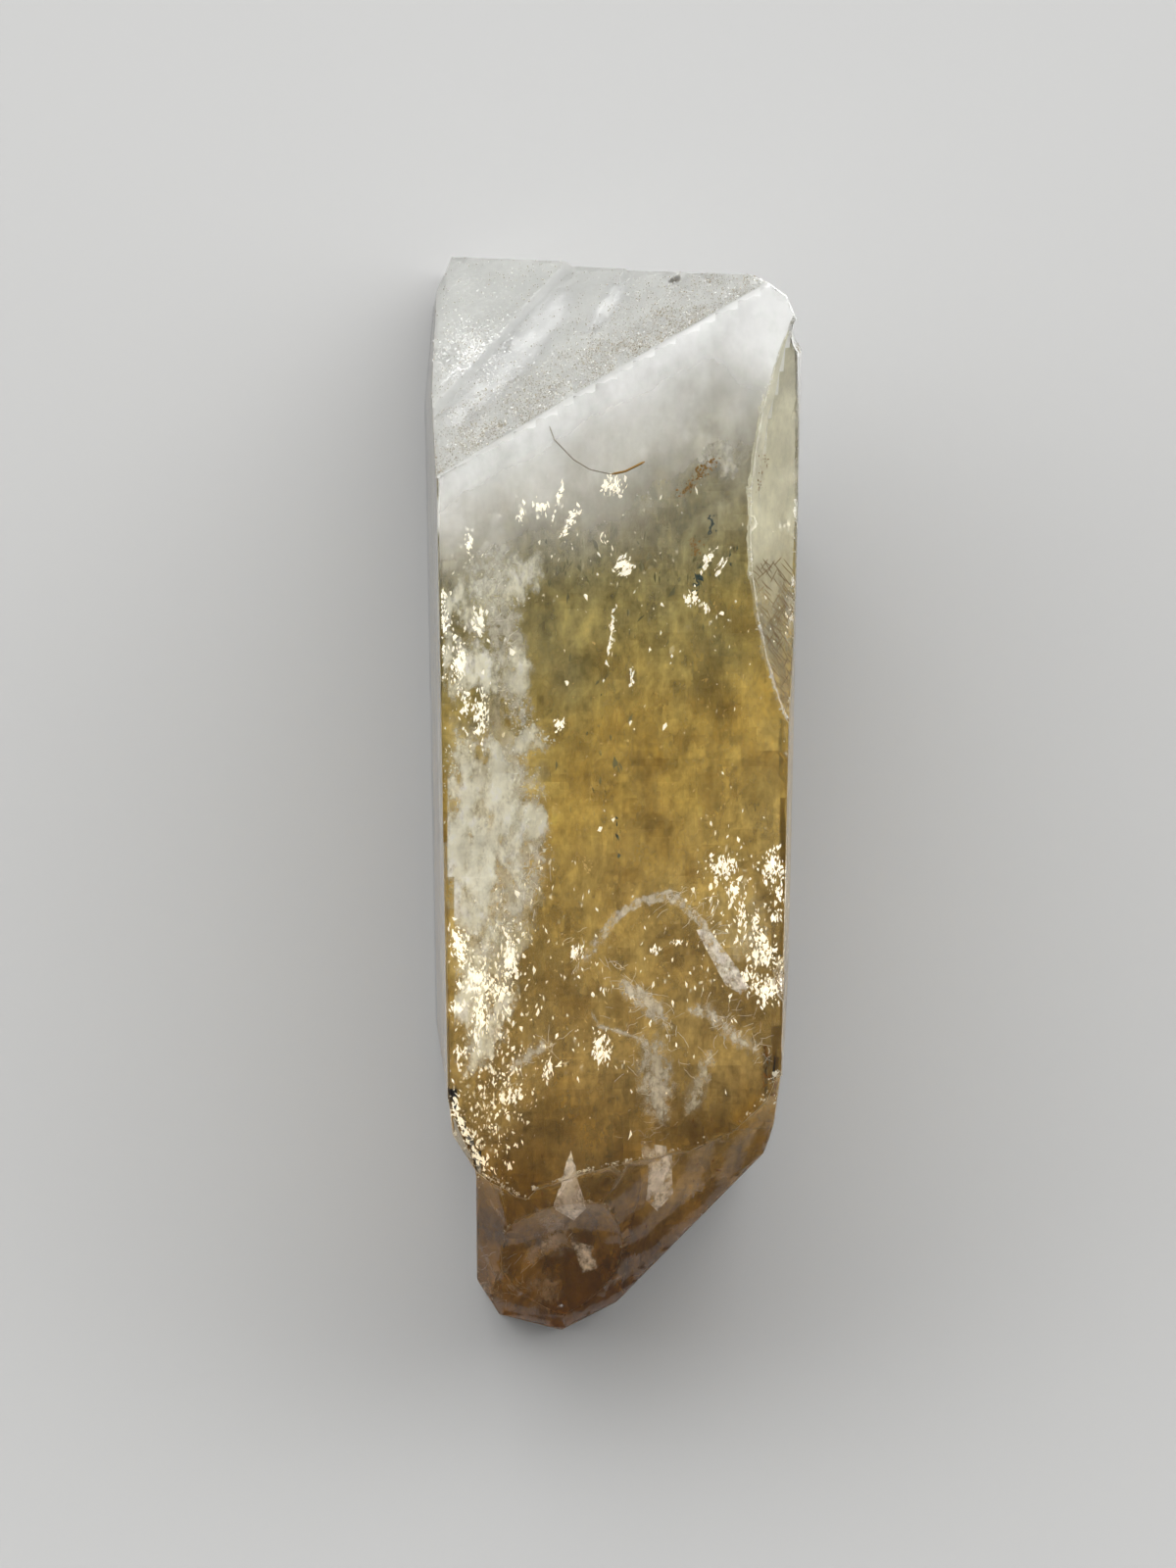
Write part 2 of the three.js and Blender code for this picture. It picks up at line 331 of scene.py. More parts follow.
def honeyGlass():
    glass = bpy.data.materials.new("honeyGlass")
    glass.use_nodes = True
    tree = glass.node_tree
    shader = tree.nodes["Principled BSDF"]
    shader.inputs["Transmission Weight"].default_value = 1
    shader.inputs["IOR"].default_value = crystal["ior"]
    place = addNode(tree, "ShaderNodeTexCoord", -1600, 0)
    split = addNode(tree, "ShaderNodeSeparateXYZ", -1400, 0)
    wire(tree, place, "Object", split, 0)
    reach = crystal["colourReach"] * mm
    along = addNode(tree, "ShaderNodeMapRange", -1200, 0, From_Min=-reach, From_Max=reach)
    wire(tree, split, "Y", along, "Value")
    zones = addNode(tree, "ShaderNodeValToRGB", -900, 0)
    fillRamp(zones.color_ramp, crystal["tints"])
    wire(tree, along, "Result", zones, "Fac")
    wire(tree, zones, "Color", shader, "Base Color")
    frosted = addNode(tree, "ShaderNodeAttribute", -1400, -400, attribute_name="frosted")
    worn = addNode(tree, "ShaderNodeAttribute", -1600, -600, attribute_name="worn")
    narrow = addNode(tree, "ShaderNodeMath", -1400, -600, operation="POWER")
    narrow.inputs[1].default_value = 4
    wire(tree, worn, "Fac", narrow, 0)
    dull = addNode(tree, "ShaderNodeMath", -1150, -450, operation="MAXIMUM")
    wire(tree, frosted, "Fac", dull, 0)
    wire(tree, narrow, 0, dull, 1)
    smear = addNode(tree, "ShaderNodeTexNoise", -1150, -250, Scale=260.0, Detail=3.0)
    wire(tree, place, "Object", smear, "Vector")
    clear = addNode(tree, "ShaderNodeMapRange", -900, -250, From_Min=0.35, From_Max=0.75, To_Min=0.02,
                    To_Max=0.1)
    wire(tree, smear, 0, clear, "Value")
    matt = addNode(tree, "ShaderNodeMix", -600, -350)
    matt.inputs["B"].default_value = 0.55
    wire(tree, dull, 0, matt, "Factor")
    wire(tree, clear, "Result", matt, "A")
    wire(tree, matt, "Result", shader, "Roughness")
    # fine growth lines along the prism, sandy grain on the frost
    combed = addNode(tree, "ShaderNodeVectorMath", -1150, -800, operation="MULTIPLY")
    combed.inputs[1].default_value = (1, 0.03, 1)
    wire(tree, place, "Object", combed, 0)
    lines = addNode(tree, "ShaderNodeTexNoise", -900, -800, Scale=2600.0, Detail=2.0)
    wire(tree, combed, 0, lines, "Vector")
    sand = addNode(tree, "ShaderNodeTexNoise", -900, -1050, Scale=5200.0, Detail=2.0)
    wire(tree, place, "Object", sand, "Vector")
    height = addNode(tree, "ShaderNodeMix", -600, -850)
    wire(tree, frosted, "Fac", height, "Factor")
    wire(tree, lines, 0, height, "A")
    wire(tree, sand, 0, height, "B")
    grain = addNode(tree, "ShaderNodeBump", -350, -850, Strength=0.35, Distance=0.00003)
    wire(tree, height, "Result", grain, "Height")
    wire(tree, grain, 0, shader, "Normal")
    inside = addNode(tree, "ShaderNodeVolumeAbsorption", 0, -400)
    inside.inputs["Color"].default_value = crystal["absorbColour"]
    inside.inputs["Density"].default_value = crystal["absorbDensity"]
    wire(tree, inside, 0, tree.nodes["Material Output"], "Volume")
    return glass


# inside pieces share these: plain colours, lit by the studio through the skin; glow, where given, is
# painted light, not a lamp
def plainMaterial(name, colour, roughness=0.45, glow=0.0):
    made = bpy.data.materials.new(name)
    made.use_nodes = True
    shader = made.node_tree.nodes["Principled BSDF"]
    shader.inputs["Base Color"].default_value = (*colour, 1)
    shader.inputs["Roughness"].default_value = roughness
    shader.inputs["Specular IOR Level"].default_value = 0
    if glow:
        shader.inputs["Emission Color"].default_value = (*colour, 1)
        shader.inputs["Emission Strength"].default_value = glow
    return made


# cloudy see-through: streaks along the crystal, thin where the sheet's own fade is low
def cloudGroup():
    group = bpy.data.node_groups.new("cloudStreaks", "ShaderNodeTree")
    face = group.interface
    for name, start in (("Grain", 400.0), ("Stretch", 0.4), ("Cover", 0.5), ("Soft", 0.2),
                        ("Thickness", 0.8), ("Contrast", 0.5)):
        socket = face.new_socket(name, in_out="INPUT", socket_type="NodeSocketFloat")
        socket.default_value = start
    face.new_socket("Mask", in_out="OUTPUT", socket_type="NodeSocketFloat")
    face.new_socket("Shade", in_out="OUTPUT", socket_type="NodeSocketFloat")
    given = addNode(group, "NodeGroupInput", -1400, 0)
    result = addNode(group, "NodeGroupOutput", 600, 0)
    place = addNode(group, "ShaderNodeTexCoord", -1400, 300)
    along = addNode(group, "ShaderNodeCombineXYZ", -1200, 100, X=1.0, Z=1.0)
    wire(group, given, "Stretch", along, "Y")
    scaled = addNode(group, "ShaderNodeVectorMath", -1000, 300, operation="MULTIPLY")
    wire(group, place, "Object", scaled, 0)
    wire(group, along, 0, scaled, 1)
    cloud = addNode(group, "ShaderNodeTexNoise", -700, 300, Detail=6.0, Roughness=0.66)
    wire(group, scaled, 0, cloud, "Vector")
    wire(group, given, "Grain", cloud, "Scale")
    fade = addNode(group, "ShaderNodeAttribute", -700, 600, attribute_name="fade")
    held = addNode(group, "ShaderNodeMath", -450, 600, operation="MULTIPLY_ADD")
    held.inputs[1].default_value = 0.6
    held.inputs[2].default_value = -0.6
    wire(group, fade, "Fac", held, 0)
    level = addNode(group, "ShaderNodeMath", -250, 400, operation="ADD")
    wire(group, cloud, 0, level, 0)
    wire(group, held, 0, level, 1)
    edge = addNode(group, "ShaderNodeMath", -450, 100, operation="SUBTRACT")
    edge.inputs[0].default_value = 1.0
    wire(group, given, "Cover", edge, 1)
    low = addNode(group, "ShaderNodeMath", -250, 150, operation="SUBTRACT")
    high = addNode(group, "ShaderNodeMath", -250, 0, operation="ADD")
    for node in (low, high):
        wire(group, edge, 0, node, 0)
        wire(group, given, "Soft", node, 1)
    body = addNode(group, "ShaderNodeMapRange", 0, 300, interpolation_type="SMOOTHSTEP")
    wire(group, level, 0, body, "Value")
    wire(group, low, 0, body, "From Min")
    wire(group, high, 0, body, "From Max")
    border = addNode(group, "ShaderNodeMapRange", -250, 600, From_Max=0.6)
    wire(group, fade, "Fac", border, "Value")
    inner = addNode(group, "ShaderNodeMath", 150, 450, operation="MULTIPLY")
    wire(group, body, "Result", inner, 0)
    wire(group, border, "Result", inner, 1)
    mask = addNode(group, "ShaderNodeMath", 300, 100, operation="MULTIPLY")
    wire(group, inner, 0, mask, 0)
    wire(group, given, "Thickness", mask, 1)
    wire(group, mask, 0, result, "Mask")
    speck = addNode(group, "ShaderNodeTexNoise", -700, -300, Scale=1900.0, Detail=3.0, Roughness=0.7)
    patch = addNode(group, "ShaderNodeTexNoise", -700, -550, Scale=480.0, Detail=3.0, Roughness=0.6)
    both = addNode(group, "ShaderNodeMath", -400, -400, operation="ADD")
    for k, node in enumerate((speck, patch)):
        wire(group, scaled, 0, node, "Vector")
        wire(group, node, 0, both, k)
    spread = addNode(group, "ShaderNodeMapRange", -200, -400, From_Min=0.72, From_Max=1.28, To_Min=-1.0)
    wire(group, both, 0, spread, "Value")
    shade = addNode(group, "ShaderNodeMath", 100, -400, operation="MULTIPLY_ADD")
    shade.inputs[2].default_value = 1.0
    wire(group, spread, "Result", shade, 0)
    wire(group, given, "Contrast", shade, 1)
    wire(group, shade, 0, result, "Shade")
    return group


# the honey colour along the crystal, its zones bent and leaning to the right
honey = {
    "bend": 5,              # mm
    "lean": 0.35,
    "zones": [
        (0, (0.27, 0.15, 0.025, 1)),
        (0.15, (0.34, 0.215, 0.045, 1)),
        (0.22, (0.51, 0.375, 0.15, 1)),
        (0.38, (0.66, 0.50, 0.19, 1)),
        (0.52, (0.72, 0.53, 0.15, 1)),
        (0.64, (0.54, 0.46, 0.19, 1)),
        (0.73, (0.51, 0.48, 0.30, 1)),
        (0.83, (0.70, 0.68, 0.58, 1)),
        (1, (0.78, 0.77, 0.72, 1)),
    ],
    "look": {"grain": 340, "stretch": 0.5, "cover": 0.84, "soft": 0.22, "thickness": 0.92,
             "contrast": 0.45},
    # level sheets: height of each in mm and how closed it is
    "sheets": [(13, 0.5), (9, 0.68), (2, 0.95)],
    "across": (-9.8, 9.8),
    "along": (-27.8, 27.2),
    "step": 0.4,
    "wave": 1.3,
    "margin": 0.08,             # kept clear of the skin, mm
    "footShare": 0.85,          # how closed a sheet still is in the foot
    # upright sheet for the sides: its x in mm and how closed it is
    "upright": (0.3, 0.75),
    "uprightAlong": (-27.6, 27),
    "uprightHeights": (0.6, 12.4),
    "uprightFade": (12.6, 5),   # height where it is gone and mm that it thins over
    "uprightWave": 0.9,
    "uprightMargin": 0.6,
}


def zoneGroup():
    group = bpy.data.node_groups.new("honeyZones", "ShaderNodeTree")
    group.interface.new_socket("Color", in_out="OUTPUT", socket_type="NodeSocketColor")
    result = addNode(group, "NodeGroupOutput", 600, 0)
    place = addNode(group, "ShaderNodeTexCoord", -1000, 0)
    split = addNode(group, "ShaderNodeSeparateXYZ", -800, 100)
    wire(group, place, "Object", split, 0)
    bend = addNode(group, "ShaderNodeTexNoise", -800, -200, Scale=170.0, Detail=4.0)
    wire(group, place, "Object", bend, "Vector")
    leaning = addNode(group, "ShaderNodeMath", -550, 100, operation="MULTIPLY_ADD")
    leaning.inputs[1].default_value = -honey["lean"]
    wire(group, split, "X", leaning, 0)
    wire(group, split, "Y", leaning, 2)
    swing = addNode(group, "ShaderNodeMapRange", -550, -200, From_Min=0.25, From_Max=0.75,
                    To_Min=-honey["bend"] * mm, To_Max=honey["bend"] * mm)
    wire(group, bend, 0, swing, "Value")
    bent = addNode(group, "ShaderNodeMath", -300, 0, operation="ADD")
    wire(group, leaning, 0, bent, 0)
    wire(group, swing, "Result", bent, 1)
    reach = crystal["colourReach"] * mm
    along = addNode(group, "ShaderNodeMapRange", -100, 0, From_Min=-reach, From_Max=reach)
    wire(group, bent, 0, along, "Value")
    ramp = addNode(group, "ShaderNodeValToRGB", 150, 0)
    fillRamp(ramp.color_ramp, honey["zones"])
    wire(group, along, "Result", ramp, "Fac")
    wire(group, ramp, "Color", result, "Color")
    return group


# colour is one plain colour, or the node group that gives it
def cloudMaterial(name, group, colour, glow=0.0, **values):
    made = plainMaterial(name, colour if isinstance(colour, tuple) else (0.5, 0.5, 0.5), 0.6, glow)
    tree = made.node_tree
    streaks = addNode(tree, "ShaderNodeGroup", -700, -200)
    streaks.node_tree = group
    for key, value in values.items():
        streaks.inputs[key.capitalize()].default_value = value
    shader = tree.nodes["Principled BSDF"]
    wire(tree, streaks, "Mask", shader, "Alpha")
    if isinstance(colour, tuple):
        tint = addNode(tree, "ShaderNodeRGB", -700, 200)
        tint.outputs[0].default_value = (*colour, 1)
    else:
        tint = addNode(tree, "ShaderNodeGroup", -700, 200)
        tint.node_tree = colour
    shaded = addNode(tree, "ShaderNodeVectorMath", -300, 200, operation="SCALE")
    wire(tree, tint, 0, shaded, 0)
    wire(tree, streaks, "Shade", shaded, "Scale")
    held = addNode(tree, "ShaderNodeVectorMath", -150, 200, operation="MINIMUM")
    held.inputs[1].default_value = (0.96, 0.96, 0.96)
    wire(tree, shaded, 0, held, 0)
    wire(tree, held, 0, shader, "Base Color")
    return made


def pieceFrom(name, parts, material):
    place = np.concatenate([p[0] for p in parts])
    starts = np.cumsum([0] + [len(p[0]) for p in parts[:-1]])
    faces = [tuple(f) for part, start in zip(parts, starts) for f in (part[1] + start).tolist()]
    mesh = bpy.data.meshes.new(name)
    mesh.from_pydata((place * mm).tolist(), [], faces)
    mesh.update()
    if len(parts[0]) > 2:
        setAttribute(mesh, "fade", np.concatenate([p[2] for p in parts]))
    mesh.materials.append(material)
    piece = bpy.data.objects.new(name, mesh)
    bpy.context.scene.collection.objects.link(piece)
    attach(piece, "root")
    print(name + ":", len(mesh.polygons), "faces")
    return piece


# how far inside the crystal each point is, in mm, less than 0 outside
def depthInside(skinTree, place):
    depth = np.empty(len(place))
    ahead = Vector((0.12, 0.07, 1)).normalized()
    for i, p in enumerate(place):
        point = Vector(p) * mm
        depth[i] = skinTree.find_nearest(point)[3] / mm
        walls = 0
        hit = skinTree.ray_cast(point, ahead)[0]
        while hit is not None:
            walls += 1
            hit = skinTree.ray_cast(hit + ahead * 1e-6, ahead)[0]
        if walls % 2 == 0:
            depth[i] = -depth[i]
    return depth


def trimmed(part, skinTree, margin):
    place, faces, fade = part
    depth = depthInside(skinTree, place)
    kept = faces[(depth[faces] > margin).all(1)]
    used, order = np.unique(kept, return_inverse=True)
    return place[used], order.reshape(kept.shape), fade[used]


def gridFaces(rows, columns):
    corner = np.arange(rows * columns).reshape(rows, columns)
    rings = np.stack([corner[:-1, :-1], corner[:-1, 1:], corner[1:, 1:], corner[1:, :-1]], 2)
    return rings.reshape(-1, 4)


# points along a line at even steps, every number of a point carried along
def resample(points, step):
    points = np.asarray(points, float)
    lengths = np.r_[0, np.cumsum(np.linalg.norm(np.diff(points[:, :2], axis=0), axis=1))]
    stops = np.linspace(0, lengths[-1], max(3, int(lengths[-1] / step) + 1))
    return np.stack([np.interp(stops, lengths, points[:, k]) for k in range(points.shape[1])], 1)


# a wavy sheet along a line of x, y, z and full width in mm
def ribbon(points, rise=0.0, wave=0.4, step=0.35):
    rows = resample(points, step)
    ahead = np.gradient(rows[:, :2], axis=0)
    ahead /= np.linalg.norm(ahead, axis=1)[:, None]
    t = np.linspace(-1, 1, max(3, int(rows[:, 3].max() / step) + 1))
    half = rows[:, 3, None] / 2 * t
    x = rows[:, 0, None] + ahead[:, 1, None] * half
    y = rows[:, 1, None] - ahead[:, 0, None] * half
    z = rows[:, 2, None] + rise * t
    place = np.stack([x, y, z], 2).reshape(-1, 3)
    place[:, 2] += [wave * noise.fractal(Vector(p) * 0.4, 1.0, 2.0, 3) for p in place]
    ends = np.linspace(-1, 1, len(rows))
    fade = np.clip(1.1 * (1 - np.abs(ends[:, None]) ** 4) * (1 - np.abs(t) ** 1.6), 0, 1).reshape(-1)
    return place, gridFaces(len(rows), len(t)), fade


# a level wavy sheet over a rectangle, its fade given for each point
def levelSheet(xRange, yRange, z, wave, step, fadeAt):
    x, y = np.meshgrid(np.arange(*xRange, step), np.arange(*yRange, step))
    place = np.stack([x, y, np.full(x.shape, float(z))], 2).reshape(-1, 3)
    place[:, 2] += [wave * noise.fractal(Vector(p) * 0.3, 1.0, 2.0, 3) for p in place]
    return place, gridFaces(*x.shape), np.clip(fadeAt(x, y), 0, 1).reshape(-1)


def honeySheets(skinTree):
    sheets = []
    for z, closed in honey["sheets"]:
        wave = honey["wave"] * min(1, z / 9)    # low sheets wave less and stay off the floor
        sheet = levelSheet(honey["across"], honey["along"], z, wave, honey["step"],
                           lambda x, y: np.where(y < -17, honey["footShare"], 1) * closed)
        sheets.append(trimmed(sheet, skinTree, honey["margin"]))
    y, z = np.meshgrid(np.arange(*honey["uprightAlong"], honey["step"]),
                       np.arange(*honey["uprightHeights"], honey["step"]))
    x, closed = honey["upright"]
    gone, over = honey["uprightFade"]
    place = np.stack([np.full(y.shape, x), y, z], 2).reshape(-1, 3)
    place[:, 0] += [honey["uprightWave"] * noise.fractal(Vector(p) * 0.12, 1.0, 2.0, 3) for p in place]
    fade = closed * np.clip((gone - place[:, 2]) / over, 0, 1)
    sheets.append(trimmed((place, gridFaces(*y.shape), fade), skinTree, honey["uprightMargin"]))
    return sheets


# milky zones close under the frosted end and under the front face below it
milk = {
    "looks": {
        "frostMilk": {"colour": (0.46, 0.465, 0.45), "grain": 900, "stretch": 0.9, "cover": 0.95,
                      "soft": 0.35, "thickness": 0.95, "contrast": 0.14},
        # frontMilk is a real milky haze with a painted glow that brightens it, in frontHaze and
        # cornerHaze
        "frontMilk": {"colour": (0.96, 0.97, 0.96), "glow": 0.12, "grain": 200, "stretch": 0.6,
                      "cover": 0.85, "soft": 0.55, "thickness": 0.97, "contrast": 0.08},
        "flakeMilk": {"colour": (0.88, 0.85, 0.66), "grain": 300, "stretch": 0.6, "cover": 0.8,
                      "soft": 0.5, "thickness": 0.95, "contrast": 0.15},
    },
    "below": 0.1,               # mm under the skin
    "flakeBelow": 0.3,
    "nearest": 0.04,            # points closer to the skin than this are sunk again
    "corner": (9, 24.6, 15.5),  # the worn corner, and the lowest x, y and z of its faces
    "cornerFrom": (4, 19, 9),
    "underEdge": 3.5,           # mm of the front face that are milky below the slanting edge
    # sheet under the front face: mm below it, reach down from the slanting edge, and what a mm to the
    # right adds to that
    "layers": [(0.8, 9, 0.42)],
    "across": (-9.6, 9.4),
    "along": (7, 27),
    "step": 0.3,
    "rise": 6,                  # mm below the slanting edge where the sheet begins to rise
    "edgeBelow": 0.16,          # mm under the front face at that edge
    "thinRight": 0.36,
}


def cornerFade(place):
    atCorner = 1.3 - np.linalg.norm(place - milk["corner"], axis=1) / 5
    onFront = place[:, 2] > frontHeight - 0.5
    atEdge = np.where(onFront, 0.85 - belowSlant(place[:, 0], place[:, 1]) / 4, 0)
    return np.clip(np.maximum(atCorner, atEdge), 0, 1)


def flakeFade(place):
    return 0.6 * np.clip((place[:, 1] - 1) / 12, 0, 1)


def fullFade(place):
    return np.ones(len(place))


# copies of the skin's own faces, sunk a little: both frosted faces, then the worn corner with the strip
# below the slanting edge, then the flake
def sunkenFaces(skin, skinTree):
    mesh = skin.data
    place = placesOf(mesh)
    faces = np.empty(len(mesh.polygons) * 3, int)
    mesh.polygons.foreach_get("vertices", faces)
    faces = faces.reshape(-1, 3)
    facing = np.empty(len(faces) * 3)
    mesh.polygons.foreach_get("normal", facing)
    facing = facing.reshape(-1, 3)
    middle = place[faces].mean(1)
    atTop = middle[:, 1] > crystal["frostedFrom"]
    below = belowSlant(middle[:, 0], middle[:, 1])
    frost = np.array(Vector(crystal["frostNormal"]).normalized())
    backFrost = np.array(Vector(crystal["backFrostNormal"]).normalized())
    flake = onFlake(middle, facing)
    onSlope = (facing @ frost > 0.6) * (below < 0.3)
    onTerrace = (facing[:, 2] > 0.25) * (below < -0.5)
    frontFaces = atTop * (onSlope | onTerrace)
    backFaces = atTop * (facing @ backFrost > 0.94)
    underEdge = atTop * (facing[:, 2] > 0.97) * (below < milk["underEdge"])
    nearCorner = (middle > milk["cornerFrom"]).all(1)
    corner = (nearCorner | underEdge) * ~flake * ~frontFaces * ~backFaces
    outwards = facingOf(mesh)
    groups = [
        (frontFaces, np.tile(frost, (len(place), 1)), milk["below"], fullFade),
        (backFaces, np.tile(backFrost, (len(place), 1)), milk["below"], fullFade),
        (corner, outwards, milk["below"], cornerFade),
        (flake, outwards, milk["flakeBelow"], flakeFade),
    ]
    sheets = []
    for chosen, away, depth, fadeAt in groups:
        kept = faces[chosen]
        used, order = np.unique(kept, return_inverse=True)
        sunk = place[used] - depth * away[used]
        near = depthInside(skinTree, sunk) < milk["nearest"]
        sunk[near] = place[used][near] - depth * outwards[used][near]
        sheets.append((sunk, order.reshape(kept.shape), fadeAt(sunk)))
    return sheets


# rises to just under the front face at the slanting edge
def frontMilk(below, reach, rightwards):
    def fadeAt(x, y):
        thinner = 1 - milk["thinRight"] * np.clip((x - 0.5) / 5, 0, 1)
        return thinner * np.clip(1.15 - belowSlant(x, y) / (reach + rightwards * x), 0, 1)

    sheet = levelSheet(milk["across"], milk["along"], frontHeight - below, 0.08, milk["step"], fadeAt)
    place, faces, fade = sheet
    nearEdge = np.clip(1 - belowSlant(place[:, 0], place[:, 1]) / milk["rise"], 0, 1)
    place[:, 2] += (below - milk["edgeBelow"]) * nearEdge ** 2 * (3 - 2 * nearEdge)
    return place, faces, fade


# pale veils: middle x, y, z, half width and half height in mm, and how closed each is
paleVeil = {
    "look": {"colour": (0.95, 0.94, 0.84), "grain": 800, "stretch": 0.55, "cover": 0.57, "soft": 0.11,
             "thickness": 0.92, "contrast": 0.25},
    "margin": 0.2,
    "wave": 0.5,
    "step": 0.35,
    "patches": [
        (-6.9, -2, 16.2, 4.2, 8.5, 1), (-6.4, -2.5, 11.5, 4.4, 12, 1.1), (-7.2, 8, 15.8, 3.4, 8, 0.8),
        (-6.8, -11, 15, 3.6, 7, 0.75), (-4, 2.6, 15.6, 2, 1.5, 0.85), (-4.4, -1.4, 15.8, 2.2, 2, 0.85),
        (-5, 11, 15.6, 2.6, 2.6, 0.8), (-4.9, 6, 15.4, 1.6, 3, 0.75), (-4.6, 15.5, 15.6, 3, 2.4, 0.75),
        (-7.2, 13, 12, 3.4, 6, 0.85), (6.9, -6.5, 12.4, 3.4, 6, 0.72), (-1, 18, 14.2, 8, 5, 0.75),
        (5, 19, 14.6, 5, 6, 0.75), (8, 17, 12.8, 2.4, 9, 0.85), (8, 9, 12.6, 2, 7, 0.62),
    ],
}


def veilPatch(x, y, z, halfWidth, halfHeight, closed):
    # full over the middle and thin towards an oval rim
    def fadeAt(px, py):
        return closed * 1.25 * (1 - ((px - x) / halfWidth) ** 2 - ((py - y) / halfHeight) ** 2)

    across = (x - halfWidth, x + halfWidth)
    along = (y - halfHeight, y + halfHeight)
    return levelSheet(across, along, z, paleVeil["wave"], paleVeil["step"], fadeAt)


# films and bands along lines of x, y, z, full width, and how much each tips sideways
films = {
    "webFilm": {
        "look": {"colour": (0.95, 0.96, 0.95), "grain": 2800, "cover": 0.56, "soft": 0.2,
                 "thickness": 0.6},
        "lines": [
            ([(-6.3, 17.5, 15.4, 2), (-5.8, 13.3, 15.4, 2.7), (-5.9, 10.7, 15.7, 5.1),
              (-5.4, 8.8, 15.4, 3.7), (-5.2, 7, 15.4, 3.2), (-4.9, 4.9, 15.4, 3.4),
              (-4.4, 3.4, 15.5, 3.7), (-2.6, 2.4, 15.7, 2.7)], 0.3),
            ([(-4.2, 4, 15.4, 2.7), (-5, 1.5, 15.2, 5.1), (-4.7, -1, 15, 5.4), (-4.6, -3.5, 14.8, 5.1),
              (-5.2, -6, 14.6, 4.8), (-5.8, -9, 14.4, 2.7)], -0.4),
            ([(-0.2, -9.2, 16, 1.2), (0.9, -9.9, 16, 1.9), (2, -10.7, 16, 2.2),
              (3.4, -12.2, 15.9, 1.7)], 0.1),
            ([(-2, -10.4, 15.8, 1), (-1.5, -8.6, 15.8, 1.1), (0.3, -6.1, 16, 1), (1.6, -5.4, 16, 1.1),
              (3, -5.1, 16, 1.3), (4.5, -6.4, 16, 1), (6.4, -9.6, 16, 0.9)], 0.1),
            ([(-1.4, -10.5, 15.8, 0.7), (-0.6, -11.7, 15.8, 0.9), (1.5, -12.4, 15.8, 1),
              (2.2, -14, 15.6, 0.8)], 0.1),
            ([(3.2, -10.9, 15.8, 1.5), (5, -11, 15.8, 1.5), (6.2, -12.3, 15.4, 1.5),
              (8, -13.4, 15, 1.7)], 0.2),
            ([(2, -11.5, 15, 3), (2.3, -14.5, 15, 3.4), (2.5, -17.4, 15, 2.8)], 0.2),
            ([(5.3, -12.5, 13.6, 1.4), (4.4, -15, 13.4, 1.7), (3.6, -17, 13.2, 1.4)], 0.1),
            ([(-8.1, -16.2, 16, 1), (-7.5, -17.5, 16, 1.3), (-6.7, -18.9, 16, 1.2),
              (-5.6, -20, 15.8, 1.1), (-4.7, -20.6, 15.6, 0.8)], 0),
            ([(3.4, -18.3, 16.2, 0.8), (6, -17.1, 16.2, 1), (8.1, -15.2, 16, 0.8)], 0),
            ([(-5.6, -14.4, 14.4, 1.4), (-3.6, -12.8, 14.4, 1.5), (-2.6, -12.4, 14.4, 1)], 0.1),
        ],
    },
    "lilacFilm": {
        "look": {"colour": (0.84, 0.77, 0.81), "grain": 2600, "cover": 0.56, "soft": 0.2,
                 "thickness": 0.5},
        "lines": [
            ([(-6.8, -22.2, 11, 0.8), (-5.7, -24, 10.4, 1), (-5.3, -25.4, 10, 0.8)], 0.1),
            ([(-6.4, -24.6, 9.8, 0.8), (-5.2, -25.6, 9.4, 1)], 0.1),
            ([(-4.9, -24.1, 10.2, 1.7), (-3.6, -22.8, 10.8, 1.9), (-2, -22, 11.2, 2)], 0.1),
            ([(-4.6, -24.4, 10, 2.7), (-3.4, -25.4, 9.6, 3.4), (-2.8, -26.4, 9.2, 2.4)], 0.1),
            ([(-3.2, -20, 12.4, 2.4), (-3, -22, 11.4, 3.1), (-2, -23.6, 10.6, 4.4)], 0.1),
            ([(0.2, -24.2, 10.4, 1.7), (0.6, -25, 10.2, 2)], 0.1),
            ([(4.6, -19.4, 12.4, 2.7), (4.2, -21.4, 12, 2.7)], 0.1),
        ],
    },
    "frostBand": {
        "look": {"colour": (0.63, 0.635, 0.63), "grain": 300, "cover": 0.72, "soft": 0.3,
                 "thickness": 0.85},
        "lines": [
            ([(-9, 18, 0.1, 2), (-6.4, 20.8, 0.1, 3), (-4, 23.4, 0.1, 3), (-1.6, 26.4, 0.1, 2)], 0),
            ([(-1.4, 23.2, 0.1, 1), (0, 25.2, 0.1, 1.6), (0.9, 26.8, 0.1, 1.6)], 0),
        ],
    },
    "frostCrumbs": {
        "look": {"colour": (0.70, 0.705, 0.70), "grain": 2600, "cover": 0.5, "soft": 0.1,
                 "thickness": 0.85},
        "lines": [
            ([(-9.3, 19.6, 0.06, 1.6), (-8.3, 21.1, 0.06, 2.2), (-7, 22.2, 0.06, 1.4),
              (-5.6, 23.4, 0.06, 0.8)], 0),
            ([(-6.2, 22.9, 0.06, 0.8), (-4, 25, 0.06, 0.7), (-2.2, 26.9, 0.06, 0.6)], 0),
            ([(-9, 16.6, 0.06, 0.9), (-5, 18.5, 0.06, 0.7), (0, 21.3, 0.06, 0.7),
              (6, 24.9, 0.06, 0.8)], 0),
        ],
    },
    "brownCloud": {
        "look": {"colour": (0.28, 0.17, 0.03), "grain": 420, "cover": 0.95, "soft": 0.12,
                 "thickness": 0.85},
        # these run on past the foot, where they are trimmed away
        "lines": [
            ([(0, -17, 5.4, 22), (-1, -24, 5, 22), (-2, -42, 5, 22)], -1),
            ([(0, -13, 0.8, 26), (-1, -24, 0.8, 26), (-1, -46, 0.8, 26)], 0),
        ],
    },
}


